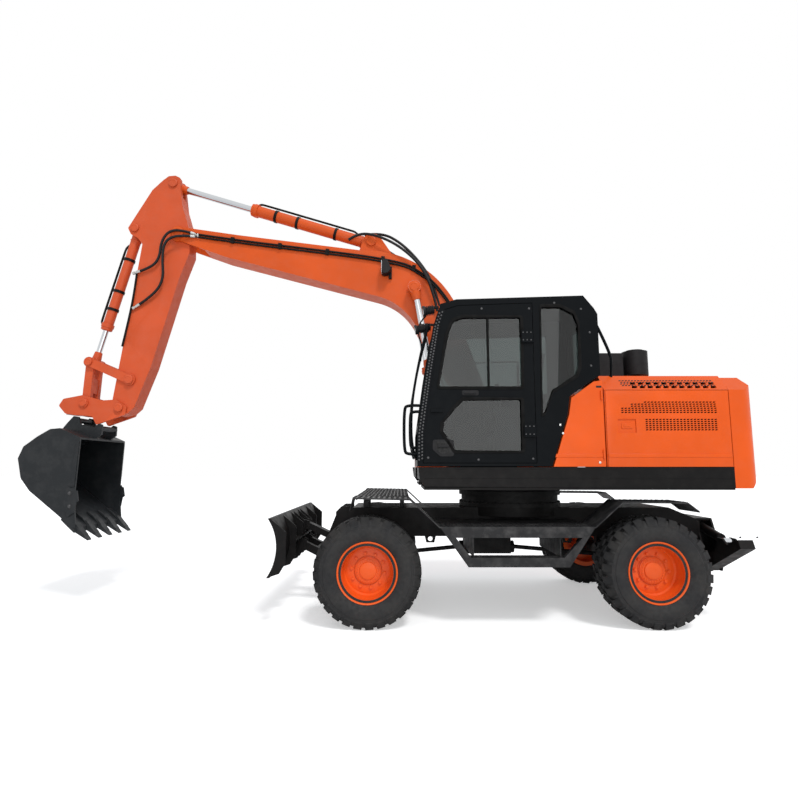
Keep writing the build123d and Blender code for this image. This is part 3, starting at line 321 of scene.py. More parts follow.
def addBox(bm, x, y, z, turn=None):
    # x, y and z are each a low and a high limit
    corners = [Vector((a, b, c)) for a in x for b in y for c in z]
    if turn:
        middle = sum(corners, Vector()) / 8
        corners = [turn @ (c - middle) + middle for c in corners]
    v = [bm.verts.new(c) for c in corners]
    for f in ((0, 1, 3, 2), (4, 6, 7, 5), (0, 4, 5, 1), (2, 3, 7, 6), (0, 2, 6, 4), (1, 5, 7, 3)):
        bm.faces.new([v[i] for i in f])


def addPrism(bm, outline, low, high, across="Y"):
    # outline is (x, z) pairs for a prism along Y, or (y, z) pairs for one along X
    def point(a, b, c):
        return Vector((a, c, b)) if across == "Y" else Vector((c, a, b))
    near = [bm.verts.new(point(a, b, low)) for a, b in outline]
    far = [bm.verts.new(point(a, b, high)) for a, b in outline]
    bm.faces.new(near)
    bm.faces.new(list(reversed(far)))
    count = len(outline)
    for i in range(count):
        bm.faces.new((near[i], far[i], far[(i + 1) % count], near[(i + 1) % count]))


def addTurned(bm, place, axis, profile, sides=32, closed=False):
    # profile is (distance along the axis, radius) pairs turned about the axis
    axis = Vector(axis).normalized()
    side = axis.orthogonal().normalized()
    other = axis.cross(side)
    rings = []
    for along, radius in profile:
        ring = []
        for i in range(sides):
            angle = 2 * math.pi * i / sides
            spoke = side * math.cos(angle) + other * math.sin(angle)
            ring.append(bm.verts.new(Vector(place) + axis * along + spoke * radius))
        rings.append(ring)
    pairs = list(zip(rings, rings[1:]))
    if closed:
        pairs.append((rings[-1], rings[0]))
    for first, second in pairs:
        for i in range(sides):
            bm.faces.new((first[i], first[(i + 1) % sides], second[(i + 1) % sides], second[i]))
    if not closed:
        bm.faces.new(list(reversed(rings[0])))
        bm.faces.new(rings[-1])


def addBolt(bm, place, axis, radius, height, washer=True):
    spin = random.random()
    if washer:
        addTurned(bm, place, axis, [(0, radius * 1.35), (height * 0.25, radius * 1.3)], 16)
    axis = Vector(axis).normalized()
    side = axis.orthogonal().normalized()
    turn = Matrix.Rotation(spin, 3, axis)
    side = turn @ side
    other = axis.cross(side)
    corners = [side * math.cos(i * math.pi / 3) + other * math.sin(i * math.pi / 3) for i in range(6)]
    rings = []
    for along, size in ((0, radius), (height * 0.85, radius), (height, radius * 0.82)):
        rings.append([bm.verts.new(Vector(place) + axis * along + corner * size) for corner in corners])
    for first, second in zip(rings, rings[1:]):
        for i in range(6):
            bm.faces.new((first[i], first[(i + 1) % 6], second[(i + 1) % 6], second[i]))
    bm.faces.new(rings[-1])
    bm.faces.new(list(reversed(rings[0])))


def tube(name, points, radius, body, mat, smooth=True, resolution=4):
    curve = bpy.data.curves.new(name, "CURVE")
    curve.dimensions = "3D"
    curve.bevel_depth = radius
    curve.bevel_resolution = resolution
    curve.use_fill_caps = True
    curve.resolution_u = 6
    spline = curve.splines.new("NURBS" if smooth else "POLY")
    spline.points.add(len(points) - 1)
    for point, place in zip(spline.points, points):
        point.co = (*place, 1)
    if smooth:
        spline.order_u = 3
        spline.use_endpoint_u = True
    piece = bpy.data.objects.new(name, curve)
    link(piece)
    curve.materials.append(mat)
    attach(piece, body)
    return piece


def meshOf(shaper):
    # the mesh that a curve object makes; the object itself goes
    bpy.context.view_layer.update()
    mesh = bpy.data.meshes.new_from_object(shaper.evaluated_get(bpy.context.evaluated_depsgraph_get()))
    bpy.data.objects.remove(shaper)
    return mesh


def sheetWithHoles(name, outline, holes, thick, place, body, mat, edge=0.0):
    # a flat plate in the X and Z plane with its holes cut through; place is its middle in Y
    curve = bpy.data.curves.new(name, "CURVE")
    curve.dimensions = "2D"
    curve.fill_mode = "BOTH"
    curve.extrude = thick / 2 - edge
    curve.bevel_depth = edge
    curve.bevel_resolution = 1
    for loop in [outline] + holes:
        spline = curve.splines.new("POLY")
        spline.points.add(len(loop) - 1)
        for point, (x, z) in zip(spline.points, loop):
            point.co = (x, z, 0, 1)
        spline.use_cyclic_u = True
    shaper = bpy.data.objects.new(name + "Shape", curve)
    link(shaper)
    mesh = meshOf(shaper)
    mesh.transform(Matrix.Translation((0, place, 0)) @ Matrix.Rotation(math.radians(90), 4, "X"))
    bm = bmesh.new()
    bm.from_mesh(mesh)
    bmesh.ops.remove_doubles(bm, verts=bm.verts, dist=0.00005)
    return newPiece(name, bm, body, mat)


def rounded(points, radius, steps=5):
    # the same outline with its corners rounded
    result = []
    count = len(points)
    for i, point in enumerate(points):
        here = Vector(point)
        before = Vector(points[i - 1]) - here
        after = Vector(points[(i + 1) % count]) - here
        angle = before.angle(after) / 2
        reach = min(radius / math.tan(angle), before.length * 0.45, after.length * 0.45)
        start = here + before.normalized() * reach
        end = here + after.normalized() * reach
        for k in range(steps + 1):
            t = k / steps
            result.append(tuple(start * (1 - t) ** 2 + here * 2 * t * (1 - t) + end * t * t))
    return result


def sideLimits(way, inner, outer):
    # low and high Y of what lies between two distances from the middle, on the left (1) or right (-1)
    return sorted((way * inner, way * outer))


def moved(points):
    return [(px(x), z) for x, z in points]


finishOf = [
    (orangePaint, ["counterweight", "engine_hood", "hood_lid", "left_engine_door", "right_engine_door",
        "left_service_door", "tank_housing"]),
    (boomShadedPaint, ["boom", "boom_cylinder_barrels", "arm_cylinder_barrel"]),
    (armShadedPaint, ["arm", "bucket_rocker", "bucket_link", "quick_coupler", "bucket_cylinder_barrel"]),
    (rimPaint, ["front_left_rim", "front_right_rim", "rear_left_rim", "rear_right_rim"]),
    (blackPaint, ["chassis_frame", "dozer_blade", "blade_arms", "blade_link", "blade_cylinder_barrels",
        "left_outrigger", "right_outrigger", "left_outrigger_barrel", "right_outrigger_barrel",
        "upper_frame", "boom_lines"]),
    (stepPaint, ["side_steps"]),
    (cabPaint, ["cab_shell", "cab_door", "hand_rails"]),
    (bucketPaint, ["bucket"]),
    (castPaint, ["slewing_ring", "axles", "drive_line", "left_knuckle", "right_knuckle", "engine_block"]),
    (plastic, ["air_precleaner", "work_lamps"]),
    (seatCloth, ["operator_seat"]),
    (tyreRubber, ["front_left_tyre", "front_right_tyre", "rear_left_tyre", "rear_right_tyre"]),
    (glassTintAndShade, ["cab_glass", "cab_door_glass"]),
    (chrome, ["arm_cylinder_rod", "boom_cylinder_rods", "bucket_cylinder_rod", "blade_cylinder_rods",
        "left_outrigger_rod", "right_outrigger_rod", "tie_rod"]),
]
# bevel of the CAD nodes' edges, where it isn't the common one
commonEdge = 0.004
sharpAngle = math.radians(32)
edgeWidth = {
    "counterweight": 0.022, "tank_housing": 0.018, "cab_shell": 0.012, "boom": 0.008, "arm": 0.008,
    "hood_lid": 0.008, "cab_door": 0.007, "bucket": 0.006, "upper_frame": 0.006, "left_outrigger": 0,
    "right_outrigger": 0,
}
for mat, names in finishOf:
    for name in names:
        node = nodes[name]
        node.data.materials.clear()
        node.data.materials.append(mat)
        smooth(node.data)
        node.data.set_sharp_from_angle(angle=sharpAngle)
        if mat is not glassTintAndShade and not name.endswith(("rim", "tyre")):
            softenEdges(node, edgeWidth.get(name, commonEdge), 2, sharpAngle)
print("CAD nodes finished")


wheelSet = {
    "axle": 0.5375, "middle": 1.045, "halfWidth": 0.205, "radius": 0.5375, "lugDepth": 0.022,
    "lugs": 28, "frontX": 1.425, "rearX": -1.425,
}


def tyreMesh():
    bm = bmesh.new()
    s = wheelSet
    half = s["halfWidth"]
    crown = s["radius"] - s["lugDepth"]
    # one side from the bead to the crown, then its mirror
    side = [
        (-0.165, 0.258), (-0.167, 0.3), (-0.18, 0.318), (-0.196, 0.345), (-half, 0.385),
        (-half + 0.001, 0.42), (-half + 0.003, 0.432), (-half + 0.009, 0.436), (-half + 0.011, 0.462),
        (-half + 0.022, 0.492), (-half + 0.042, crown - 0.004), (-0.08, crown + 0.002),
    ]
    profile = side + [(-y, r) for y, r in reversed(side)]
    addTurned(bm, (0, 0, 0), (0, 1, 0), profile, 96, True)
    # tread lugs: a shoulder block each side, slanted towards the crown, and two staggered centre blocks
    step = 2 * math.pi / s["lugs"]
    top = s["radius"] - 0.0012

    def lug(corners):
        # corners are (angle, y, inner radius, outer radius)
        low = [bm.verts.new((r * math.cos(a), y, r * math.sin(a))) for a, y, r, t in corners]
        high = [bm.verts.new((t * math.cos(a), y, t * math.sin(a))) for a, y, r, t in corners]
        bm.faces.new(low)
        bm.faces.new(list(reversed(high)))
        count = len(corners)
        for i in range(count):
            bm.faces.new((low[i], high[i], high[(i + 1) % count], low[(i + 1) % count]))

    for i in range(s["lugs"]):
        for way in (-1, 1):
            a = i * step + (0 if way > 0 else step / 2)
            w = step * 0.36
            edge = way * (half - 0.008)
            lug([
                (a - w, edge, 0.455, 0.47), (a + w, edge, 0.455, 0.47),
                (a + w, way * (half - 0.02), 0.48, 0.519),
                (a + w * 0.9, way * 0.165, 0.5, top - 0.003), (a + w * 0.5 + 0.03, way * 0.105, 0.5, top),
                (a - w * 1.0 + 0.03, way * 0.105, 0.5, top), (a - w * 0.9, way * 0.165, 0.5, top - 0.003),
                (a - w, way * (half - 0.02), 0.48, 0.519),
            ])
            b = a + step * 0.45
            lug([
                (b - w * 0.9, way * 0.088, 0.5, top), (b + w * 0.9, way * 0.088, 0.5, top),
                (b + w * 0.7 + 0.02, way * 0.012, 0.5, top), (b - w * 1.1 + 0.02, way * 0.012, 0.5, top),
            ])
    # thin moulded rings on the side wall
    for way in (-1, 1):
        for radius in (0.335, 0.405):
            at = 0.19 if radius < 0.35 else half
            addTurned(bm, (0, way * at, 0), (0, way, 0), [(-0.004, radius - 0.003),
                (-0.0002, radius - 0.001), (-0.0002, radius + 0.001), (-0.004, radius + 0.003)], 96, True)
    return meshFrom(bm, "tyre")


def rimMesh():
    bm = bmesh.new()
    # barrel, flange and dished disc in one turned skin, outside towards +Y
    skin = [
        (-0.175, 0.247), (-0.175, 0.299), (-0.17, 0.301), (-0.166, 0.3), (-0.164, 0.257), (0.164, 0.257),
        (0.166, 0.3), (0.171, 0.301), (0.175, 0.297), (0.173, 0.288), (0.163, 0.28), (0.15, 0.277),
        (0.14, 0.268),
        (0.128, 0.262), (0.118, 0.258), (0.06, 0.249), (0.022, 0.243), (0.006, 0.228), (0.012, 0.205),
        (0.012, 0.142),
        (-0.004, 0.138), (-0.004, 0.225), (-0.02, 0.24),
    ]
    addTurned(bm, (0, 0, 0), (0, 1, 0), skin, 80, True)
    # hub, ending in its cap
    hub = [(-0.15, 0.06), (-0.15, 0.138), (0.004, 0.139), (0.014, 0.139), (0.016, 0.132), (0.03, 0.13),
        (0.032, 0.122), (0.036, 0.119),
           (0.038, 0.088), (0.044, 0.084), (0.05, 0.083), (0.052, 0.079), (0.052, 0.02)]
    addTurned(bm, (0, 0, 0), (0, 1, 0), hub, 64)
    for i in range(24):
        a = 2 * math.pi * i / 24
        addBolt(bm, (0.106 * math.cos(a), 0.034, 0.106 * math.sin(a)), (0, 1, 0), 0.0075, 0.011, False)
    for i in range(10):
        a = 2 * math.pi * (i + 0.3) / 10
        addBolt(bm, (0.168 * math.cos(a), 0.011, 0.168 * math.sin(a)), (0, 1, 0), 0.0165, 0.02)
    addBolt(bm, (-0.03, 0.051, 0.008), (0, 1, 0), 0.007, 0.003)
    return meshFrom(bm, "rim")


tyreShape = tyreMesh()
rimShape = rimMesh()
for end, x in (("front", wheelSet["frontX"]), ("rear", wheelSet["rearX"])):
    for side, way in (("left", 1), ("right", -1)):
        for kind, shape, mat, slotName in (("tyre", tyreShape, tyreRubber, "tyre"),
                ("rim", rimShape, rimPaint, "orange_paint")):
            mesh = shape.copy()
            faceOut = Matrix.Rotation(math.radians(180 if way < 0 else 0), 4, "Z")
            spin = faceOut @ Matrix.Rotation(0.13 if end == "rear" else 0.05, 4, "Y")
            mesh.transform(Matrix.Translation((px(x), way * wheelSet["middle"], wheelSet["axle"])) @ spin)
            piece = newPiece(f"{end}_{side}_{kind}_shape", mesh, f"{end}_{side}_wheel", mat,
                0.003 if kind == "tyre" else 0.0, 30, 1)
            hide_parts(f"{end}_{side}_{kind}")
print("wheels built")


def slotRows(first, last, pitch, rows, height, lean, gap=0.26):
    # slanted slots between two X limits, one row for each middle height
    holes = []
    for z in rows:
        x = first
        while x < last:
            w = pitch * (1 - gap)
            h = height / 2
            holes.append([(x, z - h), (x + w, z - h), (x + w + lean, z + h), (x + lean, z + h)])
            x += pitch
    return holes


doorSet = {"rear": -2.24, "front": -0.992, "bottom": 1.571, "top": 2.344, "face": 1.2, "thick": 0.012}
slotSet = {"pitch": 0.035, "height": 0.015, "lean": -0.01}
grilleRows = [
    # first and last X of a block of slots, and its rows' middle heights
    (-2.11, -1.165, (2.118, 2.139, 2.16)),
    (-2.105, -1.26, (2.181, 2.202)),
    (-2.1, -1.385, (2.223,)),
    (-2.105, -1.395, (1.941, 1.962, 1.983, 2.004, 2.025, 2.046)),
]
grille = []
for first, last, rows in grilleRows:
    grille += slotRows(first, last, slotSet["pitch"], rows, slotSet["height"], slotSet["lean"])
for side, way in (("left", 1), ("right", -1)):
    d = doorSet
    outline = moved([(d["rear"], d["bottom"]), (d["front"], d["bottom"]), (d["front"], d["top"]),
        (d["rear"], d["top"])])
    latchHole = moved([(-1.29, 1.912), (-1.104, 1.912), (-1.104, 2.052), (-1.29, 2.052)])
    name = f"{side}EngineDoor"
    plate = sheetWithHoles(name, outline, [moved(h) for h in grille] + [latchHole], d["thick"],
        way * (d["face"] - d["thick"] / 2),
                           f"{side}_engine_door", orangePaint, 0.0012)
    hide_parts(f"{side}_engine_door")
    bm = bmesh.new()
    inner = d["face"] - d["thick"]
    lowY, highY = sideLimits(way, inner - 0.028, inner + 0.001)
    x0, x1, z0, z1 = px(d["rear"]), px(d["front"]), d["bottom"], d["top"]
    for limits in (((x0, x0 + 0.03), (z0, z1)), ((x1 - 0.03, x1), (z0, z1)), ((x0, x1), (z0, z0 + 0.03)),
            ((x0, x1), (z1 - 0.03, z1))):
        addBox(bm, limits[0], (lowY, highY), limits[1])
    newPiece(name + "Frame", bm, f"{side}_engine_door", orangePaint, 0.002)
    # painted shade behind the slots: a near-black sheet where the inside of the door lies in shade
    bm = bmesh.new()
    near, far = sideLimits(way, inner - 0.012, inner - 0.009)
    for x0, x1, z0, z1 in ((-2.13, -1.14, 2.1, 2.245), (-2.13, -1.37, 1.925, 2.065)):
        addBox(bm, (px(x0), px(x1)), (near, far), (z0, z1))
    newPiece(name + "BehindSlotShade", bm, f"{side}_engine_door", holeShadePaint)
    bm = bmesh.new()
    # latch pocket with its paddle
    near, far = sideLimits(way, inner - 0.004, inner - 0.001)
    addBox(bm, (px(-1.292), px(-1.102)), (near, far), (1.91, 2.054))
    near, far = sideLimits(way, inner - 0.001, inner + 0.006)
    addPrism(bm, moved([(-1.252, 1.955), (-1.15, 1.955), (-1.142, 1.965), (-1.142, 2.003), (-1.15, 2.012),
        (-1.252, 2.012)]), near, far)
    near, far = sideLimits(way, inner + 0.006, inner + 0.01)
    addBox(bm, (px(-1.238), px(-1.165)), (near, far), (1.972, 1.996))
    newPiece(name + "Latch", bm, f"{side}_engine_door", orangePaint, 0.0015)
    # pressed bead low on the door
    bm = bmesh.new()
    near, far = sideLimits(way, d["face"] - 0.002, d["face"] + 0.005)
    addPrism(bm, moved([(-2.236, 1.664), (-0.996, 1.664), (-0.996, 1.7), (-2.236, 1.7)]), near, far)
    newPiece(name + "Bead", bm, f"{side}_engine_door", orangePaint, 0.0045, 35, 3)
print("engine doors built")

# shoulder grilles on the hood's chamfer, their slots painted as near-black patches for the shade inside them
shoulderSet = {"first": -2.145, "pitch": 0.0325, "columns": 30, "rows": 4, "rowPitch": 0.027, "wide": 0.021,
    "high": 0.015}
h = shoulderSet
for side, way in (("left", 1), ("right", -1)):
    bm = bmesh.new()
    down = Vector((0, way * 0.16, -0.17)).normalized()
    out = Vector((0, way * 0.17, 0.16)).normalized()
    base = Vector((0, way * 1.2, 2.35))
    for row in range(h["rows"]):
        for col in range(h["columns"]):
            x = px(h["first"] + col * h["pitch"] + 0.01 * (row % 2))
            corner = base - down * (0.062 + row * h["rowPitch"])
            pts = []
            for dx, dz in ((0, 0), (h["wide"], 0), (h["wide"] - 0.008, h["high"]), (-0.008, h["high"])):
                point = Vector((x + dx, 0, 0)) + corner - down * dz
                hit, place, normal, index = nodes["engine_hood"].ray_cast(point + out * 0.1, -out)
                pts.append(place if hit and (place - point).length < 0.03 else point)
            low = [bm.verts.new(p - out * 0.004) for p in pts]
            high = [bm.verts.new(p + out * 0.0015) for p in pts]
            bm.faces.new(low)
            bm.faces.new(list(reversed(high)))
            for i in range(4):
                bm.faces.new((low[i], high[i], high[(i + 1) % 4], low[(i + 1) % 4]))
    newPiece(f"{side}ShoulderSlotShadePatches", bm, "upper", holeShadePaint)
print("hood grilles built")


bm = bmesh.new()
addPrism(bm, moved([(-0.458, 1.664), (-0.96, 1.664), (-0.96, 1.7), (-0.47, 1.7)]), 1.198, 1.205)
newPiece("serviceDoorBead", bm, "left_service_door", orangePaint, 0.004, 35, 3)
# a slot painted as a near-black patch, for the shade inside it
bm = bmesh.new()
addPrism(bm, moved([(-0.9, 2.372), (-0.955, 2.372), (-0.955, 2.392), (-0.9, 2.392)]), 1.198, 1.203)
newPiece("serviceDoorSlotShade", bm, "left_service_door", holeShadePaint, 0.002)
bm = bmesh.new()
for x, z in ((-0.52, 1.99), (-0.545, 1.905)):
    addTurned(bm, (px(x), 1.199, z), (0, 1, 0), [(0, 0.011), (0.004, 0.011), (0.006, 0.007)], 20)
addTurned(bm, (px(-0.905), 1.199, 1.612), (0, 1, 0), [(0, 0.012), (0.006, 0.012), (0.008, 0.008)], 20)
newPiece("serviceDoorLocks", bm, "left_service_door", steel)
bm = bmesh.new()
for way in (-1, 1):
    near, far = sideLimits(way, 1.199, 1.203)
    addBox(bm, (px(-2.24), px(0.9)), (near, far), (1.548, 1.562))
    addBox(bm, (px(-2.24), px(0.86)), (near, far), (1.452, 1.458))
newPiece("skirtRibs", bm, "upper", blackPaint, 0.0015)
print("body trim built")


def faceAt(names, x, z, reach, way=1):
    # how far out the CAD solids reach in Y near a place
    best = 0
    for name in names:
        for vertex in nodes[name].data.vertices:
            if math.hypot(vertex.co.x - px(x), vertex.co.z - z) < reach:
                best = max(best, way * vertex.co.y)
    return way * best


def pinCap(bm, x, z, y, way, radius, bolts=2, proud=0.012):
    out = (0, way, 0)
    ring = [(-0.004, radius), (proud * 0.7, radius), (proud, radius * 0.9), (proud, radius * 0.62),
        (proud * 0.8, radius * 0.58),
            (proud * 0.8, 0.0005)]
    addTurned(bm, (px(x), y, z), out, ring, 40)
    for i in range(bolts):
        a = 0.6 + 2 * math.pi * i / bolts
        place = (px(x) + radius * 0.78 * math.cos(a), y + way * (proud - 0.002),
            z + radius * 0.78 * math.sin(a))
        addBolt(bm, place, out, radius * 0.1, 0.006, False)


pinSet = {
    "boom": [(0.925, 3.765, 0.07, ["boom"], 0.16), (3.925, 4.51, 0.078, ["boom"], 0.12),
        (1.467, 4.42, 0.062, ["boom"], 0.09)],
    "arm": [(4.032, 5.208, 0.056, ["arm"], 0.1), (4.49, 4.6, 0.052, ["arm"], 0.09),
        (4.429, 2.635, 0.054, ["arm"], 0.08)],
    "rocker": [(4.94, 2.855, 0.048, ["bucket_rocker"], 0.08)],
    "bucket": [(4.96, 2.345, 0.046, ["quick_coupler"], 0.08),
        (4.528, 2.285, 0.052, ["quick_coupler"], 0.08)],
    "boom_rods": [(0.925, 3.765, 0.058, ["boom_cylinder_rods"], 0.16)],
}
for body, pins in pinSet.items():
    bm = bmesh.new()
    for x, z, radius, names, reach in pins:
        for way in (1, -1):
            y = faceAt(names, x, z, reach, way)
            pinCap(bm, x, z, y, way, radius)
    mat, slotName = (armShadedPaint, "arm_paint") if body in ("arm", "rocker", "bucket") else (boomShadedPaint,
        "orange_paint")
    newPiece(f"{body}PinCaps", bm, body, mat)
print("pin caps built")


cylinderSet = {
    # base place, eye place, Y places, barrel length, outer radius, body, paint
    "armCylinder": ((1.467, 4.42), (4.032, 5.208), (0,), 1.625, 0.072, "arm_barrel", boomShadedPaint),
    "bucketCylinder": ((4.49, 4.6), (4.94, 2.855), (0,), 1.35, 0.06, "bucket_barrel", armShadedPaint),
    "boomCylinder": ((0.47, 1.4), (0.925, 3.765), (0.245, -0.245), 1.48, 0.066, "boom_barrels", boomShadedPaint),
}
for name, (base, eye, sides, length, radius, body, mat) in cylinderSet.items():
    bm = bmesh.new()
    dark = bmesh.new()
    run = Vector((eye[0] - base[0], 0, eye[1] - base[1])).normalized()
    for y in sides:
        foot = Vector((px(base[0]), y, base[1]))
        # gland collar with its bolts, and the base's weld ring
        addTurned(bm, foot + run * (length - 0.08), run,
                  [(0, radius), (0.003, radius + 0.014), (0.048, radius + 0.014), (0.052, radius + 0.008),
                  (0.083, radius + 0.006),
                   (0.085, radius * 0.7), (0.092, radius * 0.68), (0.092, radius * 0.6)], 40)
        addTurned(bm, foot + run * 0.13, run, [(0, radius), (0.004, radius + 0.006), (0.012, radius + 0.007),
            (0.018, radius)], 40)
        side = run.orthogonal().normalized()
        for i in range(10):
            spoke = Matrix.Rotation(2 * math.pi * i / 10, 3, run) @ side
            addBolt(bm, foot + run * (length + 0.003) + spoke * (radius * 0.86), run, 0.006, 0.006, False)
        # clamp bands
        for share in (0.3, 0.62, 0.8):
            addTurned(dark, foot + run * (length * share), run,
                      [(-0.018, radius), (-0.017, radius + 0.008), (0.017, radius + 0.008), (0.018, radius)],
                      40)
    newPiece(name + "Collars", bm, body, mat)
    newPiece(name + "Bands", dark, body, blackPaint)
    for y in sides:
        foot = Vector((px(base[0]), y, base[1]))
        up = run.cross(Vector((0, 1, 0))).normalized()
        if (up.x if name == "bucketCylinder" else up.z) < 0:
            up = -up
        pipe = [foot + run * 0.2 + up * (radius * 0.9), foot + run * 0.24 + up * (radius + 0.032),
            foot + run * 0.34 + up * (radius + 0.034),
                foot + run * (length * 0.6) + up * (radius + 0.034),
                foot + run * (length - 0.12) + up * (radius + 0.034),
                foot + run * (length - 0.07) + up * (radius + 0.028),
                foot + run * (length - 0.045) + up * (radius * 0.9)]
        tube(f"{name}Pipe{'L' if y >= 0 else 'R'}", pipe, 0.0135, body, blackPaint)
print("cylinder fittings built")


# boom pipes, hoses and lamp
boomSet = {
    "halfWidth": 0.15, "pipe": 0.0125,
    "run": [(0.395, 3.33), (0.47, 3.56), (0.56, 3.7), (0.7, 3.872), (0.86, 3.985), (1.01, 4.082),
        (1.3, 4.148), (1.62, 4.202), (2.3, 4.29), (3.14, 4.397), (3.7, 4.482)],
}
s = boomSet
for way in (1, -1):
    sideName = "left" if way > 0 else "right"
    for row, drop in enumerate((0.0, -0.034)):
        line = [(px(x), way * (s["halfWidth"] + 0.017), z + drop + 0.012) for x, z in s["run"]]
        tube(f"{sideName}BoomPipe{row}", line, s["pipe"], "boom", blackPaint)
    bm = bmesh.new()
    for x, z in ((1.32, 4.165), (2.02, 4.262), (2.62, 4.34), (3.22, 4.418), (0.93, 4.05)):
        near, far = sideLimits(way, s["halfWidth"] - 0.001, s["halfWidth"] + 0.034)
        addBox(bm, (px(x - 0.022), px(x + 0.022)), (near, far), (z - 0.047, z + 0.028),
            Matrix.Rotation(math.radians(-8), 3, "Y"))
        addBolt(bm, (px(x), way * (s["halfWidth"] + 0.034), z - 0.009), (0, way, 0), 0.008, 0.007, False)
    newPiece(f"{sideName}BoomPipeClips", bm, "boom", blackPaint, 0.003)
    if way > 0:
        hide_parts("boom_lines")

hoseSet = {
    # arcs seen over the boom's bend, from the arm cylinder's base to the machine
    "boomArcs": [
        [(1.76, 0.105, 4.44), (1.64, 0.13, 4.52), (1.4, 0.19, 4.47), (1.1, 0.215, 4.31), (0.84, 0.215, 4.06),
        (0.7, 0.215, 3.76), (0.64, 0.19, 3.48)],
        [(1.56, -0.06, 4.58), (1.35, 0.06, 4.56), (1.1, 0.13, 4.4), (0.86, 0.15, 4.14), (0.69, 0.15, 3.86),
        (0.61, 0.14, 3.56)],
        [(1.6, -0.105, 4.5), (1.38, -0.17, 4.48), (1.08, -0.2, 4.3), (0.8, -0.205, 4.02),
        (0.65, -0.205, 3.7)],
    ],
    # from the boom's tip over the pivot and down the arm
    "armArcs": [
        [(3.7, 0.167, 4.494), (3.86, 0.185, 4.54), (4.02, 0.2, 4.52), (4.11, 0.19, 4.38),
        (4.13, 0.165, 4.18), (4.23, 0.15, 4.06), (4.42, 0.14, 4.0)],
        [(3.7, 0.167, 4.46), (3.9, 0.205, 4.47), (4.06, 0.215, 4.38), (4.08, 0.2, 4.16), (4.06, 0.17, 3.9),
        (4.18, 0.15, 3.7), (4.4, 0.135, 3.56)],
        [(3.7, -0.167, 4.494), (3.86, -0.185, 4.54), (4.02, -0.2, 4.52), (4.11, -0.19, 4.38),
        (4.13, -0.165, 4.18), (4.23, -0.15, 4.06), (4.4, -0.14, 4.0)],
    ],
}
for i, line in enumerate(hoseSet["boomArcs"]):
    points = [(px(x), y, z) for x, y, z in line]
    tube(f"boomHose{i}", points, 0.017, "boom", hoseRubber)
for i, line in enumerate(hoseSet["armArcs"]):
    points = [(px(x), y, z) for x, y, z in line]
    curve = tube(f"armHose{i}Line", points, 0.016, "boom", hoseRubber)
    mesh = meshOf(curve)
    hose = bpy.data.objects.new(f"armHose{i}", mesh)
    link(hose)
    mesh.materials.clear()
    mesh.materials.append(hoseRubber)
    smooth(mesh)
    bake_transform(hose)
    bm = bmesh.new()
    end, back = Vector(points[-1]), Vector(points[-2])
    addTurned(bm, end, end - back, [(-0.05, 0.0185), (0, 0.0185), (0.002, 0.014), (0.02, 0.014),
        (0.022, 0.0195), (0.05, 0.0195), (0.052, 0.01)], 16)
    newPiece(f"armHoseEnd{i}", bm, "arm", steel)
    bm = bmesh.new()
    start, following = Vector(points[0]), Vector(points[1])
    addTurned(bm, start, start - following, [(-0.05, 0.0185), (0, 0.0185), (0.002, 0.014), (0.03, 0.014),
        (0.032, 0.0195), (0.05, 0.0195)], 16)
    newPiece(f"boomHoseEnd{i}", bm, "boom", steel)
armPipe = [(4.42, 4.0), (4.44, 3.7), (4.5, 3.3), (4.545, 3.05)]
for way in (1, -1):
    tube(f"armPipe{'L' if way > 0 else 'R'}", [(px(x), way * 0.13, z) for x, z in armPipe], 0.0125, "arm",
        blackPaint)
bm = bmesh.new()
addBox(bm, (px(1.205), px(1.245)), (0.15, 0.185), (3.9, 4.06))
newPiece("boomLampBracket", bm, "boom", blackPaint, 0.003)
bm = bmesh.new()
addPrism(bm, moved([(1.325, 4.118), (1.33, 3.945), (1.3, 3.93), (1.255, 3.938), (1.212, 3.985),
    (1.235, 4.055), (1.262, 4.11)]), 0.17, 0.29)
newPiece("boomLamp", bm, "boom", plastic, 0.008, 35, 3)
bm = bmesh.new()
addBox(bm, (px(1.326), px(1.334)), (0.182, 0.278), (3.955, 4.105))
newPiece("boomLampGlass", bm, "boom", lensMat, 0.002)
print("boom fittings built")

# painted eyes over the chromed rods
rodEyes = {
    # body, outer radius, half width, rod radius, slot
    "boom": ("boom_rods", 0.081, 0.0435, 0.038, "orange_paint"),
    "arm": ("arm_rod", 0.075, 0.0445, 0.04, "orange_paint"),
    "bucket": ("bucket_rod", 0.069, 0.0475, 0.033, "arm_paint"),
}
for name, (body, radius, half, rod, slotName) in rodEyes.items():
    base, eye, sides, *others, mat = cylinderSet[name + "Cylinder"]
    bm = bmesh.new()
    run = Vector((eye[0] - base[0], 0, eye[1] - base[1])).normalized()
    for y in sides:
        middle = Vector((px(eye[0]), y, eye[1]))
        addTurned(bm, middle, (0, 1, 0), [(-half, rod), (-half, radius - 0.004), (-half + 0.004, radius),
            (half - 0.004, radius), (half, radius - 0.004), (half, rod)], 48)
        addTurned(bm, middle - run * (radius + 0.085), run, [(0, rod + 0.0015), (0.004, rod + 0.01),
            (0.03, rod + 0.013), (0.085, rod + 0.02), (0.12, rod + 0.016)], 36)
    newPiece(f"{name}RodEyes", bm, body, mat)
print("rod eyes built")


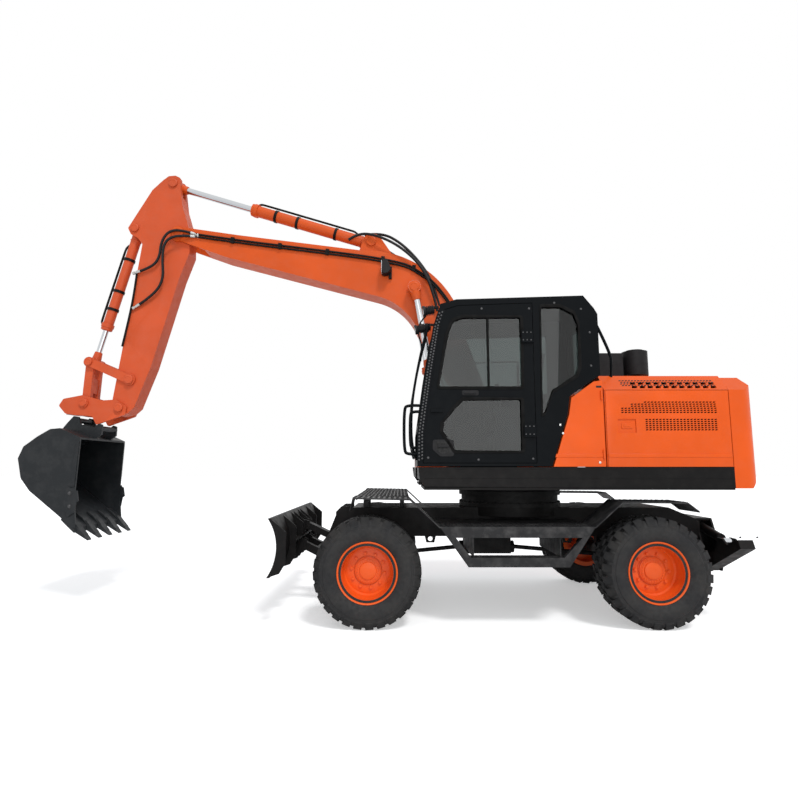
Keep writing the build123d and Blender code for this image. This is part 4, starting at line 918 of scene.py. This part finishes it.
# cab: window seals, window bar, handle, screws, front guard, rails and lamps
doorFrame = {
    "upper": [(0.453, 3.117), (-0.156, 3.116), (-0.149, 2.373), (0.714, 2.374), (0.615, 2.931),
        (0.558, 3.077)],
    "lower": [(0.46, 2.255), (-0.14, 2.255), (-0.138, 1.721), (0.553, 1.722), (0.68, 1.928), (0.671, 2.013),
        (0.546, 2.169)],
    "quarter": [(-0.357, 3.23), (-0.564, 3.23), (-0.704, 3.157), (-0.746, 3.042), (-0.742, 2.593),
        (-0.707, 2.498), (-0.459, 2.34),
                (-0.373, 2.106), (-0.341, 2.091)],
    "right": [(-0.64, 2.42), (0.7, 2.42), (0.6, 3.08), (-0.64, 3.12)],
}


def shrunk(points, by):
    middle = (sum(p[0] for p in points) / len(points), sum(p[1] for p in points) / len(points))
    result = []
    for x, z in points:
        d = Vector((x - middle[0], z - middle[1]))
        d = d.normalized() * (d.length - by)
        result.append((middle[0] + d.x, middle[1] + d.y))
    return result


for key, line in doorFrame.items():
    way = -1 if key == "right" else 1
    body = "cab_door" if key in ("upper", "lower") else "upper"
    outer = rounded(moved(shrunk(line, -0.02)), 0.03)
    inner = rounded(moved(shrunk(line, 0.012)), 0.022)
    sheetWithHoles(f"{key}WindowSeal", outer, [inner], 0.01, way * 1.2025, body, seal, 0.003)
bm = bmesh.new()
addBox(bm, (px(0.182), px(0.206)), (1.176, 1.196), (2.38, 3.112))
addBox(bm, (px(-0.15), px(0.2)), (1.172, 1.178), (2.38, 2.392))
newPiece("doorWindowBar", bm, "cab_door", seal, 0.002)
bm = bmesh.new()
# handle in its recess
addPrism(bm, rounded(moved([(0.47, 2.292), (0.3, 2.292), (0.3, 2.345), (0.47, 2.345)]), 0.02), 1.199, 1.204)
addPrism(bm, rounded(moved([(0.45, 2.308), (0.33, 2.308), (0.33, 2.33), (0.45, 2.33)]), 0.01), 1.204, 1.224)
addPrism(bm, rounded(moved([(0.775, 1.842), (0.56, 1.842), (0.56, 1.672), (0.7, 1.672), (0.775, 1.74)]),
    0.03), 1.199, 1.206)
newPiece("doorHandle", bm, "cab_door", plastic, 0.003)
# painted shade: a near-black plate in the handle's recess
bm = bmesh.new()
addPrism(bm, rounded(moved([(0.745, 1.822), (0.59, 1.822), (0.59, 1.7), (0.69, 1.7), (0.745, 1.752)]), 0.02),
    1.205, 1.2075)
newPiece("doorPocketShade", bm, "cab_door", holeShadePaint)
bm = bmesh.new()
addPrism(bm, rounded(moved([(0.73, 1.79), (0.61, 1.79), (0.61, 1.765), (0.73, 1.765)]), 0.012), 1.207, 1.222)
newPiece("doorPull", bm, "cab_door", plastic, 0.003)
bm = bmesh.new()
for x, z in ((0.254, 3.205), (0.314, 1.64), (-0.24, 3.205), (-0.235, 1.65), (0.82, 1.66)):
    addBolt(bm, (px(x), 1.2, z), (0, 1, 0), 0.0085, 0.006)
for x in (-0.245, -0.205, -0.165):
    for z in (1.895, 1.975, 2.865, 2.945):
        addBolt(bm, (px(x), 1.2255, z), (0, 1, 0), 0.0075, 0.006, False)
newPiece("doorScrews", bm, "cab_door", wornSteel)
bm = bmesh.new()
for x, z in ((-0.505, 3.265), (-0.78, 3.2), (-0.86, 2.6), (-0.86, 2.95)):
    addBolt(bm, (px(x), 1.2, z), (0, 1, 0), 0.0085, 0.006)
newPiece("cabScrews", bm, "upper", wornSteel)

guardSet = {
    "line": [(0.945, 1.66), (0.99, 1.79), (0.985, 2.2), (0.925, 2.56), (0.85, 2.9), (0.8, 3.06)],
    "sides": (0.42, 1.12), "pitch": 0.052, "wire": 0.0065, "frame": 0.013,
}
g = guardSet
for y in g["sides"]:
    tube(f"guardRail{int(y * 100)}", [(px(x), y, z) for x, z in g["line"]], g["frame"],
        "upper", cabPaint)
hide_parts("hand_rails")
bm = bmesh.new()
lengths = [(Vector(b) - Vector(a)).length for a, b in zip(g["line"], g["line"][1:])]
total = sum(lengths)
count = int(total / g["pitch"])
for k in range(count + 1):
    left = total * k / count
    for (a, b), length in zip(zip(g["line"], g["line"][1:]), lengths):
        if left <= length + 1e-6:
            x, z = Vector(a).lerp(Vector(b), min(1, left / length))
            break
        left -= length
    addTurned(bm, (px(x), g["sides"][0], z), (0, 1, 0), [(0, g["wire"]),
        (g["sides"][1] - g["sides"][0], g["wire"])], 8)
newPiece("guardBars", bm, "upper", cabPaint)
for k in range(1, 8):
    y = g["sides"][0] + (g["sides"][1] - g["sides"][0]) * k / 8
    tube(f"guardWire{k}", [(px(x), y, z) for x, z in g["line"]], 0.0045, "upper", cabPaint,
        True, 1)
railSet = {
    "grabOuter": [(0.9, 1.165, 1.7), (1.03, 1.165, 1.69), (1.062, 1.165, 1.74), (1.062, 1.165, 2.15),
        (1.03, 1.165, 2.2), (0.88, 1.165, 2.19)],
    "grabInner": [(0.905, 1.15, 1.76), (0.98, 1.15, 1.755), (1.0, 1.15, 1.8), (1.0, 1.15, 2.09),
        (0.98, 1.15, 2.135), (0.89, 1.15, 2.13)],
    "tankRail": [(0.6, -1.15, 2.03), (0.6, -1.15, 2.5), (0.56, -1.15, 2.57), (-0.46, -1.15, 2.69),
        (-0.52, -1.15, 2.64), (-0.52, -1.15, 2.33)],
    "rearStay": [(-0.9, 1.12, 3.18), (-0.96, 1.12, 3.06), (-1.09, 1.11, 2.76), (-1.12, 1.08, 2.66),
        (-1.12, 1.04, 2.5)],
    "lampCable": [(0.82, 0.98, 3.19), (0.9, 0.96, 3.12), (0.905, 0.95, 2.98), (0.86, 0.94, 2.86),
        (0.88, 0.93, 2.7)],
}
for name, line in railSet.items():
    tube(name, [(px(x), y, z) for x, y, z in line], 0.008 if name == "lampCable" else 0.0155, "upper",
        cabPaint)


def ribbedLamp(name, place, axis, radius, length, body, replaced=None):
    place, axis = Vector(place), Vector(axis).normalized()
    bm = bmesh.new()
    profile = [(-length, radius * 0.3), (-length * 0.96, radius * 0.62)]
    for k in range(5):
        a = -length * 0.92 + k * length * 0.13
        profile += [(a, radius * 0.66), (a + 0.002, radius * 0.92), (a + length * 0.055, radius * 0.92),
            (a + length * 0.06, radius * 0.66)]
    profile += [(-length * 0.22, radius * 0.94), (-0.012, radius), (0, radius), (0, radius * 0.9),
        (-0.008, radius * 0.86)]
    addTurned(bm, place, axis, profile, 40)
    piece = newPiece(name, bm, body, plastic)
    bm = bmesh.new()
    addTurned(bm, place - axis * 0.01, axis, [(0, radius * 0.86), (0.005, radius * 0.8),
        (0.009, radius * 0.5), (0.01, radius * 0.1)], 40)
    newPiece(name + "Lens", bm, body, lensMat)
    if replaced:
        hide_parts(replaced)
    return piece


ribbedLamp("cabLampOuter", (px(0.86), 1.09, 3.205), (1, 0, -0.16), 0.058, 0.125, "upper", "work_lamps")
ribbedLamp("cabLampInner", (px(0.86), 0.4, 3.205), (1, 0, -0.16), 0.058, 0.125, "upper")
ribbedLamp("cabLampLower", (px(0.945), 1.07, 3.01), (1, 0, -0.2), 0.05, 0.11, "upper")
bm = bmesh.new()
for y in (1.09, 0.4):
    addBox(bm, (px(0.69), px(0.8)), (y - 0.012, y + 0.012), (3.235, 3.262))
addBox(bm, (px(0.8), px(0.85)), (1.058, 1.082), (2.99, 3.01))
newPiece("lampBrackets", bm, "upper", blackPaint, 0.003)
print("cab built")


# step treads, ring bolts, front tread plate and the front pillar's strip
def onTop(node, x, y, high, low=0.0):
    hit, place, normal, index = nodes[node].ray_cast(Vector((px(x), y, high)), Vector((0, 0, -1)))
    return place.z if hit and place.z > low and normal.z > 0.9 else None


treadSet = {"pitch": 0.052, "row": 0.05, "firstRow": 0.865, "rows": 8, "half": 0.017, "halfWide": 0.0045}
treadRuns = [
    # first and last X, and a height just above what carries the treads
    (1.02, 1.56, 1.45), (-1.72, -1.105, 1.45), (-0.5, 0.4, 0.84), (-0.79, 0.69, 1.2),
]
t = treadSet
bm = bmesh.new()
for way in (1, -1):
    for first, last, above in treadRuns:
        steps = int((last - first) / t["pitch"])
        for i in range(steps + 1):
            for j in range(t["rows"]):
                x = first + (last - first) * i / steps
                y = way * (t["firstRow"] + t["row"] * j)
                z = onTop("side_steps", x, y, above, 0.6)
                if z is None:
                    continue
                turn = Matrix.Rotation(math.radians(45 if (i + j) % 2 else -45), 3, "Z")
                sizes = (px(x) - t["half"], px(x) + t["half"]), (y - t["halfWide"], y + t["halfWide"])
                addBox(bm, *sizes, (z - 0.001, z + 0.003), turn)
newPiece("stepTreads", bm, "chassis", stepPaint)
ringLow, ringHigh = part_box("slewing_ring")
ringRadius = (ringHigh[0] - ringLow[0]) / 2
ringMiddle = (ringHigh[0] + ringLow[0]) / 2
bm = bmesh.new()
for i in range(40):
    a = 2 * math.pi * i / 40
    place = (ringMiddle + (ringRadius - 0.014) * math.cos(a), (ringRadius - 0.014) * math.sin(a),
        ringLow[2] + 0.04)
    addBolt(bm, place, (0, 0, 1), 0.011, 0.014)
newPiece("ringBolts", bm, "chassis", castPaint)
# tread plate over the front axle, level with the fenders, on posts from the frame
plateSet = {"x": (1.01, 1.57), "y": 0.845, "top": 1.264, "thick": 0.01}
p = plateSet
bm = bmesh.new()
addBox(bm, (px(p["x"][0]), px(p["x"][1])), (-p["y"], p["y"]), (p["top"] - p["thick"], p["top"]))
for x in (p["x"][0] + 0.004, p["x"][1] - 0.004):
    addBox(bm, (px(x) - 0.004, px(x) + 0.004), (-p["y"], p["y"]), (p["top"] - 0.045, p["top"] - 0.004))
for x in (1.08, 1.5):
    for y in (-0.33, 0.33):
        z = onTop("chassis_frame", x, y, 1.22, 0.5)
        if z is not None:
            addBox(bm, (px(x) - 0.025, px(x) + 0.025), (y - 0.004, y + 0.004), (z - 0.002, p["top"] - 0.004))
newPiece("frontTreadPlate", bm, "chassis", stepPaint, 0.0015)
bm = bmesh.new()
for i in range(14):
    for j in range(40):
        x = p["x"][0] + 0.02 + (p["x"][1] - p["x"][0] - 0.04) * i / 13
        y = -p["y"] + 0.03 + (2 * p["y"] - 0.06) * j / 39
        turn = Matrix.Rotation(math.radians(45 if (i + j) % 2 else -45), 3, "Z")
        addBox(bm, (px(x) - 0.014, px(x) + 0.014), (y - 0.004, y + 0.004),
            (p["top"] - 0.001, p["top"] + 0.003), turn)
newPiece("frontPlateTreads", bm, "chassis", stepPaint)
# studded strip along the cab's front pillar
pillar = [(0.929, 1.64), (0.927, 1.907), (0.895, 2.14), (0.839, 2.532), (0.756, 3.012), (0.7, 3.19)]
sheetWithHoles("pillarStrip", moved([(x + 0.003, z) for x, z in pillar] + [(x - 0.075, z) for x,
    z in reversed(pillar)]), [], 0.005, 1.2025,
               "upper", cabPaint, 0.001)
bm = bmesh.new()
for (x0, z0), (x1, z1) in zip(pillar, pillar[1:]):
    count = max(1, int((z1 - z0) / 0.03))
    for k in range(count):
        x = x0 + (x1 - x0) * k / count
        z = z0 + (z1 - z0) * k / count
        for column in range(2):
            shift = 0.018 + 0.03 * column
            addTurned(bm, (px(x - shift), 1.2045, z + 0.012 * column), (0, 1, 0),
                [(0, 0.0095), (0.003, 0.0095), (0.0045, 0.007), (0.003, 0.005)], 10)
newPiece("pillarStuds", bm, "upper", wornSteel)
print("treads and bolts built")


# bucket: tooth adapters, side cutters and wear strips
bucketSet = {"half": 0.5, "teeth": 5}
bm = bmesh.new()
steelParts = bmesh.new()
pitch = (2 * bucketSet["half"] - 0.11) / (bucketSet["teeth"] - 1)
for i in range(bucketSet["teeth"]):
    y = -bucketSet["half"] + 0.055 + i * pitch
    addPrism(bm, moved([(4.88, 1.04), (4.8, 0.985), (4.735, 0.905), (4.725, 0.85), (4.755, 0.835),
        (4.835, 0.905), (4.915, 0.98)]), y - 0.05, y + 0.05)
    addPrism(bm, moved([(4.742, 0.905), (4.69, 0.868), (4.64, 0.812), (4.66, 0.8), (4.735, 0.84),
        (4.762, 0.868)]), y - 0.045, y + 0.045)
    for way in (1, -1):
        addTurned(steelParts, (px(4.752), y + way * 0.05, 0.88), (0, way, 0),
            [(-0.001, 0.012), (0.004, 0.012), (0.005, 0.008)], 16)
for way in (1, -1):
    near, far = sideLimits(way, 0.4985, 0.5145)
    addPrism(bm, rounded(moved([(4.765, 1.33), (4.742, 1.19), (4.76, 1.06), (4.83, 1.01), (4.875, 1.12),
        (4.868, 1.33)]), 0.01), near, far)
    near, far = sideLimits(way, 0.4985, 0.51)
    addPrism(bm, moved([(4.762, 1.86), (4.78, 1.35), (4.822, 1.35), (4.806, 1.86)]), near, far)
    for x, z in ((4.822, 1.275), (4.812, 1.13)):
        addBolt(steelParts, (px(x), way * 0.514, z), (0, way, 0), 0.017, 0.014)
for y in (-0.3, 0.0, 0.3):
    addPrism(bm, moved([(5.44, 1.6), (5.392, 1.445), (5.29, 1.302), (4.96, 1.042), (4.957, 1.028),
        (5.296, 1.29), (5.404, 1.44), (5.45, 1.6)]), y - 0.035, y + 0.035)
newPiece("bucketWearParts", bm, "bucket", bucketPaint, 0.003)
newPiece("bucketBolts", steelParts, "bucket", wornSteel)
print("bucket dressed")
